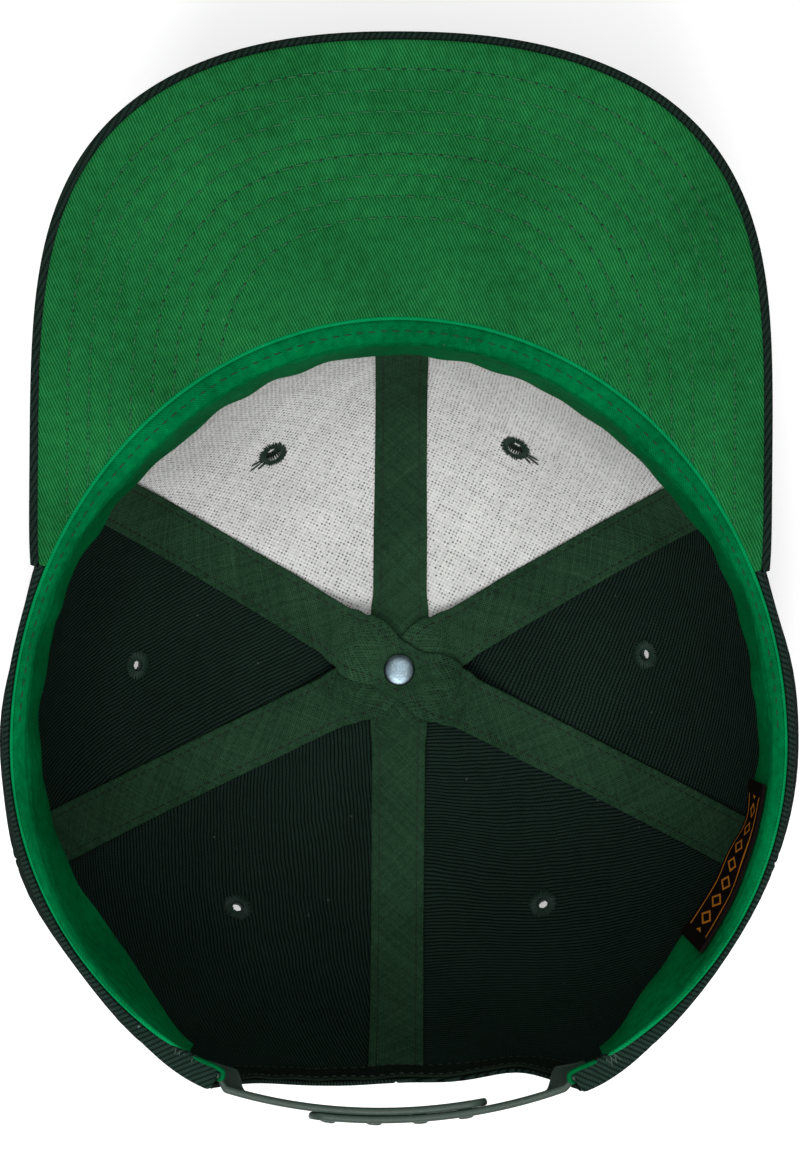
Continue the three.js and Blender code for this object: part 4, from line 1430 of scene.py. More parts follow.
@dataclass
class Sweatband:
    """The sweatband that is turned in at the rim, and its label."""

    form: CapForm = FORM
    end_angle: float = 151.2
    taper_start: float = 130.0
    taper: float = 0.86
    rear_narrowing: float = 0.16
    hem_rise: float = 0.6
    stitched_to: float = 97.0
    step: float = 0.6
    label_start: float = 106.0
    label_end: float = 132.0
    label_wall: float = 0.8
    label_places: tuple[float, float] = (2.6, 5.8)

    def section(self, degrees: np.ndarray, place: np.ndarray) -> tuple[np.ndarray, np.ndarray]:
        """The band's middle: its inset from the rim and its height.

        Args:
            degrees: Directions from the peak.
            place: Places along the section, counted in rows.

        Returns:
            Insets and heights in millimetres.
        """
        form = self.form
        turn = np.abs(signed(degrees))
        front, back = 1 - smoothstep(turn, 42, 80), smoothstep(turn, 98, 150)
        shares = (front, 1 - front - back, back)
        ending = smoothstep(turn, self.taper_start, self.end_angle + 1.6) ** 1.5
        columns = [np.array([getattr(row, name) for row in BAND_ROWS]) for name in ("front", "side", "back")]
        insets = sum(share[:, None] * column for share, column in zip(shares, columns, strict=True))
        depths = np.array([row.depth for row in BAND_ROWS])
        lean = np.sin(np.pi * np.clip(depths, 0, 1))
        for fold in BAND_FOLDS:
            insets = insets + fold.push * bell(signed(degrees - fold.angle), fold.width)[:, None] * lean
        narrow = (1 - self.taper * ending) * (1 - self.rear_narrowing * smoothstep(turn, 118, 138))
        inset = rows_at(insets, place) * form.band_inset * narrow
        depth = rows_at(np.tile(depths, (len(degrees), 1)), place) * (1 - self.hem_rise * ending)
        height = form.crown_depth - form.band_depth * depth
        ripple = waves(degrees / 11, place / 5, 21) * smoothstep(place, 2.2, 3.5) * 0.4 * (1 - 0.6 * ending)
        tuck = -0.55 * bell(place - 2.32, 0.12) * (1 - back)
        return form.panel_wall + form.gap + form.band_wall / 2 + inset + ripple + tuck, height

    def point(self, degrees: np.ndarray, place: np.ndarray, offset: np.ndarray | float) -> np.ndarray:
        """Points of the band moved from its middle towards the wearer."""
        inset, height = self.section(degrees, place)
        before = self.section(degrees, np.maximum(place - 0.05, 0))
        after = self.section(degrees, np.minimum(place + 0.05, len(BAND_ROWS) - 1))
        along = unit(np.stack([after[0] - before[0], after[1] - before[1]], axis=1))
        inset, height = inset - along[:, 1] * offset, height + along[:, 0] * offset
        return plan_point(degrees, self.form.rim_radius(degrees) - inset, height)

    def grid(
        self, degrees: np.ndarray, places: np.ndarray
    ) -> tuple[np.ndarray, np.ndarray, np.ndarray]:
        """Directions, places and flat cloth positions of a grid over the band."""
        place_grid, degree_grid = np.meshgrid(places, degrees, indexing="ij")
        length = np.radians(degree_grid) * 95.0
        inset, height = self.section(np.zeros(400), np.linspace(0, len(BAND_ROWS) - 1, 400))
        run = np.concatenate([[0], np.cumsum(np.hypot(np.diff(inset), np.diff(height)))])
        down = np.interp(place_grid, np.linspace(0, len(BAND_ROWS) - 1, 400), run)
        return degree_grid.ravel(), place_grid.ravel(), np.stack([length.ravel(), down.ravel()], axis=1)

    def band(self) -> tuple[bpy.types.Object, list[Path]]:
        """Makes the band and its stitch line."""
        form = self.form
        degrees = np.arange(-self.end_angle, self.end_angle + self.step / 2, self.step)
        places = np.concatenate(
            [
                [0, 0.05, 0.15, 0.3, 0.5, 0.7, 0.9, 1.1, 1.3, 1.5, 1.7, 1.9, 2.0, 2.1],
                [2.2, 2.28, 2.34, 2.42, 2.5, 2.65],
                np.arange(2.8, 5.81, 0.2),
                [5.9, 5.96, 6.0],
            ]
        )
        around, place, cloth = self.grid(degrees, places)
        half = form.band_wall / 2
        away = np.minimum(place * 3.0, (len(BAND_ROWS) - 1 - place) * 7.0)
        thick = half * rounded(away, half)
        outer = self.point(around, place, -thick)
        inner = self.point(around, place, thick)
        faces = grid_faces(len(places), len(degrees))
        piece = Sheet(outer, inner, faces, cloth).build("cloth_sweatband")
        stitched = degrees[np.abs(degrees) < self.stitched_to]
        line = np.full(len(stitched), 1.42)
        top = self.point(stitched, line, half)
        up = unit(top - self.point(stitched, line, 0))
        return piece, [Path(top + 0.05 * up, up)]

    def label(self) -> bpy.types.Object:
        """Makes the woven label on the band."""
        form = self.form
        degrees = np.linspace(self.label_start, self.label_end, 50)
        places = np.linspace(*self.label_places, 26)
        around, place, _ = self.grid(degrees, places)
        share = np.stack(
            [
                (around - self.label_start) / (self.label_end - self.label_start),
                (place - self.label_places[0]) / (self.label_places[1] - self.label_places[0]),
            ],
            axis=1,
        )
        offset = form.band_wall / 2 + form.stack_gap
        outer = self.point(around, place, offset)
        inner = self.point(around, place, offset + self.label_wall)
        faces = grid_faces(len(places), len(degrees))
        return Sheet(outer, inner, faces, share / METRES * 0.1).build("cloth_label")

    def build(self, dresser: Dresser, stitches: Stitcher) -> None:
        """Makes and dresses the band, its stitches and its label."""
        piece, paths = self.band()
        dresser.dress(piece, "sweatband", ["sweatband"])
        stitches.row(dresser, "sweatband_stitches", paths, "band_thread", 3.0, 2.0)
        dresser.dress(self.label(), "label", ["label"])
        # The folded edge wears a brighter copy of the band's cloth as painted highlight.
        dresser.dress(self.edge(), "band_edge")

    def edge(self) -> bpy.types.Object:
        """Makes the band's folded edge, which stands a little proud along the rim."""
        form = self.form
        degrees = np.arange(-self.end_angle - 0.6, self.end_angle + 0.7, self.step)
        front = 1 - smoothstep(np.abs(degrees), 66, 84)
        radius = form.rim_radius(degrees) - form.panel_wall - form.gap - 0.42
        height = form.crown_depth + 0.45 + 0.62 * front + 0.1 * waves(degrees / 7, degrees * 0, 71)
        turns = np.linspace(0, 2 * np.pi, 10, endpoint=False)
        rings = radius[:, None] + np.cos(turns) * 0.52, height[:, None] + np.sin(turns) * 0.5
        loops = plan_point(np.repeat(degrees[:, None], len(turns), axis=1), *rings)
        cloth = np.stack(np.broadcast_arrays(np.radians(degrees)[:, None] * 95, turns[None, :]), axis=-1)
        return tube("cloth_band_edge", loops, cloth)


def tube(name: str, loops: np.ndarray, cloth: np.ndarray, sharp: float = 60.0) -> bpy.types.Object:
    """Joins closed loops of points into one solid with closed ends.

    Args:
        name: The piece's name.
        loops: Points, shape (loops, points of a loop, 3).
        cloth: Place on the flat cloth for each point, in millimetres.
        sharp: Edges that turn by more degrees than this stay sharp.

    Returns:
        The new object.
    """
    count, sides = loops.shape[:2]
    faces = [
        (i * sides + k, i * sides + (k + 1) % sides, (i + 1) * sides + (k + 1) % sides, (i + 1) * sides + k)
        for i in range(count - 1)
        for k in range(sides)
    ]
    faces += [tuple(reversed(range(sides))), tuple((count - 1) * sides + k for k in range(sides))]
    piece = make_object(name, loops.reshape(-1, 3), faces, cloth.reshape(-1, 2), sharp)
    outward(piece)
    return piece


class CurlPoint(NamedTuple):
    """A point of the sweatband's curled end, in millimetres, on the wearer's left."""

    x: float
    y: float
    height: float


CURL = (
    CurlPoint(54.0, -93.6, 106.2),
    CurlPoint(50.8, -95.3, 106.5),
    CurlPoint(47.6, -96.6, 106.8),
    CurlPoint(45.0, -97.7, 106.9),
    CurlPoint(43.3, -99.0, 106.7),
    CurlPoint(43.5, -100.4, 106.0),
    CurlPoint(44.8, -101.2, 104.6),
)


@dataclass
class RimFold:
    """The crown's cloth where it folds in over the rim, and the band's ends that curl round its ends."""

    form: CapForm = FORM
    start_angle: float = 72.0
    end_angle: float = 155.1
    stations: int = 150
    curl_radius: float = 0.8

    def loops(self, side: int) -> tuple[np.ndarray, np.ndarray]:
        """Closed sections of the fold from the peak's end to the arch, and their flat cloth."""
        form = self.form
        turns = np.linspace(self.start_angle, self.end_angle, self.stations)
        turns = np.concatenate([turns, self.end_angle + np.array([0.35, 0.6, 0.75, 0.82])])
        degrees = side * turns
        top = np.full(len(turns), float(form.last_row))
        under = form.row_at_height(np.full(len(turns), form.crown_depth - 4.0))
        rim = form.crown(degrees, top, -0.2)
        low = form.crown(degrees, under, -0.12)
        rim_radius = np.hypot(rim[:, 0], rim[:, 1])
        low_radius = np.hypot(low[:, 0], low[:, 1])
        ending = smoothstep(turns, 144, 153)
        inner = form.rim_radius(degrees) - 1.35 - 1.6 * ending
        puff = 0.85 + 0.6 * ending + 0.16 * waves(turns / 3.1, np.zeros(len(turns)), 61 + side)
        between = (rim_radius + inner) / 2
        outside = [low_radius + 0.2, rim_radius + 0.4, rim_radius]
        knots_r = np.stack([*outside, between, inner + 0.3, inner, inner + 0.5], axis=1)
        base = form.crown_depth
        knots_z = np.stack(
            [
                np.full(len(turns), base - 4.0),
                np.full(len(turns), base - 1.0),
                base + puff * 0.45,
                base + puff,
                base + puff * 0.7,
                np.full(len(turns), base - 0.6),
                np.full(len(turns), base - 3.0),
            ],
            axis=1,
        )
        places = np.linspace(0, 6, 25)
        grid = np.tile(places, len(turns))
        radius = rows_at(np.repeat(knots_r, len(places), axis=0), grid).reshape(len(turns), -1)
        height = rows_at(np.repeat(knots_z, len(places), axis=0), grid).reshape(len(turns), -1)
        shrink = np.ones(len(turns))
        shrink[-4:] = (0.96, 0.84, 0.6, 0.25)
        middle_r, middle_z = radius.mean(axis=1, keepdims=True), height.mean(axis=1, keepdims=True)
        radius = middle_r + (radius - middle_r) * shrink[:, None]
        height = middle_z + (height - middle_z) * shrink[:, None]
        angle = np.repeat(degrees[:, None], len(places), axis=1)
        points = plan_point(angle, radius, height)
        lean = math.radians(24)
        across = points[..., 1] * math.cos(lean) + side * points[..., 0] * math.sin(lean)
        along = points[..., 0] * math.cos(lean) - side * points[..., 1] * math.sin(lean)
        return points, np.stack([along, across], axis=-1)

    def curl(self, side: int) -> tuple[np.ndarray, np.ndarray]:
        """Closed sections of one curled end of the band, and their flat cloth."""
        table = np.array(CURL) * np.array([side, 1, 1])
        places = np.linspace(0, len(CURL) - 1, 46)
        centre = np.stack(
            [rows_at(np.tile(table[:, axis], (len(places), 1)), places) for axis in range(3)], axis=1
        )
        along = unit(np.gradient(centre, axis=0))
        beside = unit(np.cross(along, [0.0, 0.0, 1.0]))
        above = np.cross(beside, along)
        size = self.curl_radius * np.sqrt(np.clip(np.minimum(places / 0.8, (6 - places) / 0.35), 0.05, 1))
        turns = np.linspace(0, 2 * np.pi, 16, endpoint=False)
        ring = beside[:, None] * (np.cos(turns) * 0.8)[None, :, None] + above[:, None] * (
            np.sin(turns) * 1.5 - 0.6
        )[None, :, None]
        loops = centre[:, None] + ring * size[:, None, None]
        cloth = np.stack(np.broadcast_arrays(places[:, None] * 3, turns[None, :]), axis=-1)
        return loops, cloth

    def bar_tack(self, side: int) -> tuple[np.ndarray, np.ndarray, np.ndarray, np.ndarray]:
        """Zigzag threads across the fold near its end: middles, directions, ups and lengths."""
        table, across = [], []
        for k in range(9):
            degrees = side * (149.6 + k * 0.32)
            out = unit(plan_point(np.array([degrees]), np.array([1.0]), np.zeros(1)))[0]
            rim = float(self.form.rim_radius(degrees))
            table.append(out * (rim - 0.6) + np.array([0, 0, self.form.crown_depth + 1.25]))
            around = np.cross(out, [0.0, 0.0, 1.0])
            across.append(unit(out + around * (0.35 if k % 2 else -0.35)))
        count = len(table)
        return np.array(table), np.array(across), np.tile([0.0, 0.0, 1.0], (count, 1)), np.full(count, 3.0)

    def build(self, dresser: Dresser, stitches: Stitcher) -> None:
        """Makes and dresses both sides."""
        for side, name in ((1, "left"), (-1, "right")):
            loops, cloth = self.loops(side)
            dresser.dress(tube("cloth_rim_fold_" + name, loops, cloth), "rim_cloth")
            loops, cloth = self.curl(side)
            dresser.dress(tube("cloth_band_end_" + name, loops, cloth), "sweatband")
            stitches.threads(dresser, "bar_tack_" + name, *self.bar_tack(side), "tack_thread", 0.3)


@dataclass
class Peak:
    """The peak: its covered board, and the lining that shows with its rows of stitches."""

    form: CapForm = FORM
    half_width: float = 93.0
    tip: float = 161.3
    widest_line: float = 47.0
    back_reach: float = 62.0
    side_power: float = 2.3
    tip_power: float = 3.9
    rise: float = 4.0
    board_wall: float = 2.7
    lining_wall: float = 1.0
    border: float = 2.3
    end_width: float = 1.6
    stitch_rows: int = 8
    first_stitch: float = 9.6
    stitch_spacing: float = 5.25

    def outline(self, degrees: np.ndarray, border: np.ndarray | float) -> np.ndarray:
        """Distance from the button to the peak's outline, moved in by a border."""
        turn = np.radians(degrees)
        shape = np.broadcast_shapes(np.shape(degrees), np.shape(border))
        low, high = np.zeros(shape), np.full(shape, self.tip + self.half_width)
        for _ in range(36):
            middle = (low + high) / 2
            x = np.abs(middle * np.sin(turn))
            y = middle * np.cos(turn) - self.widest_line
            reach = np.where(y > 0, self.tip - self.widest_line, self.back_reach) - border
            total = (x / (self.half_width - border)) ** self.side_power
            total = total + (np.abs(y) / reach) ** self.tip_power
            low, high = np.where(total < 1, middle, low), np.where(total < 1, high, middle)
        return low

    def inner_under(self, degrees: np.ndarray) -> np.ndarray:
        """Distance at which the board meets the crown."""
        height = self.form.crown_depth - self.board_wall
        row = self.form.row_at_height(np.full(len(degrees), height))
        points = self.form.surface(degrees, row)
        return np.hypot(points[:, 0], points[:, 1]) + self.form.gap

    def inner_beside(self, degrees: np.ndarray) -> np.ndarray:
        """Distance at which the lining meets the sweatband."""
        return self.form.rim_radius(degrees) - self.form.panel_wall - self.form.gap

    def end(self, border: float, inner: Callable[[np.ndarray], np.ndarray]) -> float:
        """The direction in which the peak narrows to its end width."""
        turns = np.arange(90, 40, -0.25)
        wide = self.outline(turns, border) - inner(turns) >= self.end_width
        return float(turns[int(np.argmax(wide))])

    def lift(self, radius: np.ndarray, inner: np.ndarray) -> np.ndarray:
        """Rise of the peak's plane at a distance from the button."""
        length = self.tip - float(self.form.rim_radius(0.0))
        return self.rise * (np.maximum(radius - inner, 0) / length) ** 2

    def shell(self) -> bpy.types.Object:
        """Makes the covered board with its rolled edge."""
        form = self.form
        end = self.end(0, self.inner_under)
        degrees = np.linspace(-end, end, 241)
        inner = self.inner_under(degrees)
        outer = self.outline(degrees, 0.0)
        half = self.board_wall / 2
        shares = np.array([0, 0.15, 0.3, 0.45, 0.6, 0.72, 0.82, 0.9, 0.96])
        loops = []
        limit = outer - np.minimum(half, (outer - inner) * 0.45)
        for share in shares:
            radius = inner + (limit - inner) * share
            loops.append(plan_point(degrees, radius, form.crown_depth + self.lift(radius, inner)))
        for turn in np.linspace(90, -90, 13):
            round_reach = (outer - limit) * math.cos(math.radians(turn))
            radius = limit + round_reach
            height = form.crown_depth - half + half * math.sin(math.radians(turn)) + self.lift(limit, inner)
            loops.append(plan_point(degrees, radius, height))
        for share in shares[::-1]:
            radius = inner + (limit - inner) * share
            height = form.crown_depth - self.board_wall + self.lift(radius, inner)
            loops.append(plan_point(degrees, radius, height))
        points = np.stack(loops)
        rows, columns = points.shape[:2]
        flat = points.reshape(-1, 3)
        faces = grid_faces(rows, columns)
        start = (rows - 1) * columns
        faces += [(start + c, start + c + 1, c + 1, c) for c in range(columns - 1)]
        first = tuple(r * columns for r in range(rows))
        last = tuple(r * columns + columns - 1 for r in reversed(range(rows)))
        faces += [first, last]
        piece = make_object("cloth_peak_shell", flat, faces, flat[:, :2])
        outward(piece)
        return piece

    def stitch_borders(self) -> np.ndarray:
        """Distances of the stitch rows from the outline."""
        return self.first_stitch + self.stitch_spacing * np.arange(self.stitch_rows)

    def lining(self) -> tuple[bpy.types.Object, list[Path], list[Path]]:
        """Makes the lining.

        Returns:
            The lining, its stitch lines, and the same lines on the peak's other face.
        """
        form = self.form
        end = self.end(self.border, self.inner_beside)
        degrees = np.linspace(-end, end, 221)
        inner = self.inner_beside(degrees)
        marks = self.stitch_borders()
        near = np.concatenate([marks + away for away in (-1.1, -0.6, -0.3, 0, 0.3, 0.6, 1.1)])
        between = np.concatenate([marks - self.stitch_spacing / 2, [46.35 + 2.6]])
        edge = self.border + np.array([0, 0.08, 0.22, 0.45, 0.8, 1.5, 3.0])
        far = np.arange(52, 88, 4.0)
        borders = np.unique(np.round(np.concatenate([edge, near, between, far]), 3))
        radii = self.outline(degrees[None, :], borders[:, None])
        clamped = radii <= inner[None, :] + 0.02
        radii = np.maximum(radii, inner[None, :])
        groove = sum(bell(borders - mark, 0.5) for mark in marks) * 0.2
        top = form.gap + self.lining_wall
        falls = (1 - rounded(borders - self.border, 0.9)) * self.lining_wall * 0.9
        lift = self.lift(radii, inner[None, :])
        puff = 0.05 * waves(degrees[None, :] / 9, borders[:, None] / 9, 41)
        high = form.crown_depth + top - groove[:, None] - falls[:, None] + lift + puff
        low = np.full_like(high, form.crown_depth + form.gap * 0.3) + lift
        rows, columns = radii.shape
        same = np.arange(rows * columns).reshape(rows, columns)
        for column in range(columns):
            cut = np.where(clamped[:, column])[0]
            if len(cut):
                same[cut, column] = same[cut[0], column]
        faces = weld(grid_faces(rows, columns), same.ravel())
        front = plan_point(np.tile(degrees, (rows, 1)), radii, high).reshape(-1, 3)
        back = plan_point(np.tile(degrees, (rows, 1)), radii, low).reshape(-1, 3)
        piece = Sheet(front, back, faces, front[:, :2]).build("cloth_peak_lining")
        upper, lower = [], []
        for mark in marks:
            turns = np.linspace(-end, end, 400)
            radius = self.outline(turns, float(mark))
            keep = radius > self.inner_beside(turns) + 0.8
            turns, radius = turns[keep], radius[keep]
            lift_line = self.lift(radius, self.inner_beside(turns))
            ups = np.tile([0.0, 0.0, 1.0], (len(turns), 1))
            upper.append(Path(plan_point(turns, radius, form.crown_depth + top - 0.14 + lift_line), ups))
            under = form.crown_depth - self.board_wall - 0.03 + lift_line
            lower.append(Path(plan_point(turns, radius, under), -ups))
        return piece, upper, lower

    def build(self, dresser: Dresser, stitches: Stitcher) -> None:
        """Makes and dresses the peak."""
        dresser.dress(self.shell(), "peak_cloth", ["peak_shell"])
        piece, upper, lower = self.lining()
        dresser.dress(piece, "peak_lining", ["peak_lining"])
        stitches.row(dresser, "peak_lining_stitches", upper, "green_thread", 3.7, 3.0, 0.6)
        # Short pieces in a darker copy of the green thread, as painted shade where the stitches sink into
        # their needle holes.
        marks = [Path(path.points[5:-5], path.ups[5:-5]) for path in upper]
        stitches.row(dresser, "peak_lining_needle_marks", marks, "needle_hole_shade_thread", 3.7, 0.8, 0.62)
        stitches.row(dresser, "peak_cover_stitches", lower, "dark_thread", 3.7, 2.5)


def outward(piece: bpy.types.Object) -> None:
    """Turns a closed mesh's faces so that they point outwards."""
    mesh = piece.data
    points = np.zeros(len(mesh.vertices) * 3)
    mesh.vertices.foreach_get("co", points)
    points = points.reshape(-1, 3)
    volume = 0.0
    for polygon in mesh.polygons:
        corners = points[list(polygon.vertices)]
        for k in range(1, len(corners) - 1):
            volume += float(np.dot(corners[0], np.cross(corners[k], corners[k + 1])))
    if volume < 0:
        mesh.flip_normals()


def lathe(
    name: str, profile: Sequence[tuple[float, float]], sides: int, sharp: float = 42.0
) -> bpy.types.Object:
    """Turns a profile of radius and height round the upright axis, closed at both ends on the axis."""
    points, faces = [], []
    rings = []
    for radius, height in profile:
        if radius < 1e-6:
            rings.append([len(points)])
            points.append((0.0, 0.0, height))
            continue
        rings.append(list(range(len(points), len(points) + sides)))
        turns = np.linspace(0, 2 * np.pi, sides, endpoint=False)
        points += [(radius * math.cos(t), radius * math.sin(t), height) for t in turns]
    for low, high in zip(rings, rings[1:], strict=False):
        for k in range(sides):
            after = (k + 1) % sides
            if len(low) == 1 and len(high) == 1:
                continue
            if len(low) == 1:
                faces.append((low[0], high[k], high[after]))
            elif len(high) == 1:
                faces.append((low[k], high[0], low[after]))
            else:
                faces.append((low[k], high[k], high[after], low[after]))
    places = np.array(points)
    piece = make_object(name, places, faces, places[:, :2], sharp)
    outward(piece)
    return piece


@dataclass
class Button:
    """The covered top button and the rivet that holds it."""

    form: CapForm = FORM
    radius: float = 7.8
    height: float = 4.2
    face_radius: float = 5.2
    rivet_radius: float = 4.2
    rivet_height: float = 1.5
    stem_radius: float = 1.3
    bore_depth: float = 2.2
    tapes: int = 3
    tape_wall: float = 1.0

    def build(self, dresser: Dresser) -> None:
        """Makes and dresses the button and its rivet."""
        form = self.form
        turns = np.radians(np.linspace(-90, 90, 15))
        corner = self.radius - self.face_radius
        half = self.height / 2
        curve = [
            (self.face_radius + corner * math.cos(t) ** 0.8, half + half * math.sin(t)) for t in turns
        ]
        profile = [(0.0, 0.0), *curve[:-2], (self.radius * 0.88, self.height)]
        bore = self.height - self.bore_depth
        profile += [(form.stem_hole, self.height), (form.stem_hole, bore), (0.0, bore)]
        piece = lathe("covered_top_button", profile, 72)
        dresser.dress(piece, "button_cloth", ["top_button"])
        stack = form.dimple_height + form.lining_top + form.stack_gap
        seat = stack + self.tapes * (self.tape_wall + form.stack_gap) - form.stack_gap + form.gap
        dome = [
            (
                self.rivet_radius * math.cos(t),
                seat + 0.45 + (self.rivet_height - 0.45) * math.sin(t) ** 0.8,
            )
            for t in np.radians(np.linspace(0, 90, 14))[1:-1]
        ]
        head = [
            (0.0, bore + form.gap),
            (self.stem_radius, bore + form.gap),
            (self.stem_radius, seat),
            (self.rivet_radius - 0.2, seat),
            (self.rivet_radius, seat + 0.15),
            (self.rivet_radius, seat + 0.45),
            *dome,
            (0.0, seat + self.rivet_height),
        ]
        dresser.dress(lathe("domed_rivet", head, 64, 60), "rivet", ["button_rivet"])


@dataclass
class Eyelets:
    """The six sewn eyelets, with loose thread ends on the front ones."""

    form: CapForm = FORM
    crown: Crown = field(default_factory=Crown)
    radius: float = 4.0
    hole: float = 1.15
    lined_hole: float = 1.75
    threads: int = 44
    thread: float = 0.5

    def build(self, dresser: Dresser, stitches: Stitcher) -> None:
        """Makes and dresses the eyelets."""
        for eyelet in EYELETS:
            degrees, row = self.crown.eyelet_middle(eyelet)
            place = np.array([degrees]), np.array([row])
            outer = self.form.crown(*place, 0.0)[0]
            inward = self.form.inward(*place)[0]
            lined = PANELS[eyelet.panel].lined
            inside = self.form.lining_top if lined else self.form.panel_wall
            side = unit(np.cross(inward, [0.0, 0.0, 1.0]))
            other = np.cross(inward, side)
            points, along, ups, reach = [], [], [], []
            chance = np.random.default_rng(100 + eyelet.panel)
            hole = self.lined_hole if lined else self.hole
            for level, sign in ((inside + 0.1, 1.0), (-0.1, -1.0)):
                for k in range(self.threads):
                    turn = 2 * math.pi * (k + chance.uniform(-0.2, 0.2)) / self.threads
                    out = side * math.cos(turn) + other * math.sin(turn)
                    length = self.radius - hole + chance.uniform(-0.25, 0.3)
                    middle = hole + length / 2 + 0.12
                    height = level + sign * (0.22 + 0.1 * chance.uniform())
                    points.append(outer + inward * height + out * middle)
                    skew = np.cross(inward, out) * 0.12
                    along.append(unit(out + skew + inward * sign * -0.06))
                    ups.append(inward * sign)
                    reach.append(length)
                for k in range(18):
                    turn = 2 * math.pi * k / 18
                    out = side * math.cos(turn) + other * math.sin(turn)
                    points.append(outer + inward * (inside * 0.5) + out * (hole + 0.3))
                    along.append(inward)
                    ups.append(out)
                    reach.append(inside + 0.8)
            if eyelet.frayed:
                for k, (length, lean) in enumerate(((4.6, 0.2), (3.6, 0.75), (2.6, -0.3))):
                    flat = unit(np.array([eyelet.frayed * (0.75 + 0.3 * lean), -0.8 + 0.5 * lean, 0.0]))
                    out = unit(flat - inward * float(np.dot(flat, inward)))
                    points.append(outer + inward * (inside + 0.45 + 0.12 * k) + out * (3.4 + length / 2))
                    along.append(unit(out + inward * 0.08))
                    ups.append(inward)
                    reach.append(length)
            stitches.threads(
                dresser,
                "sewn_" + eyelet.name,
                np.array(points),
                np.array(along),
                np.array(ups),
                np.array(reach),
                "eyelet_thread",
                self.thread,
                [eyelet.name],
            )


class StrapKind(Enum):
    """The two straps of the closure."""

    PEGS = "strap_with_pegs"
    HOLES = "strap_with_holes"


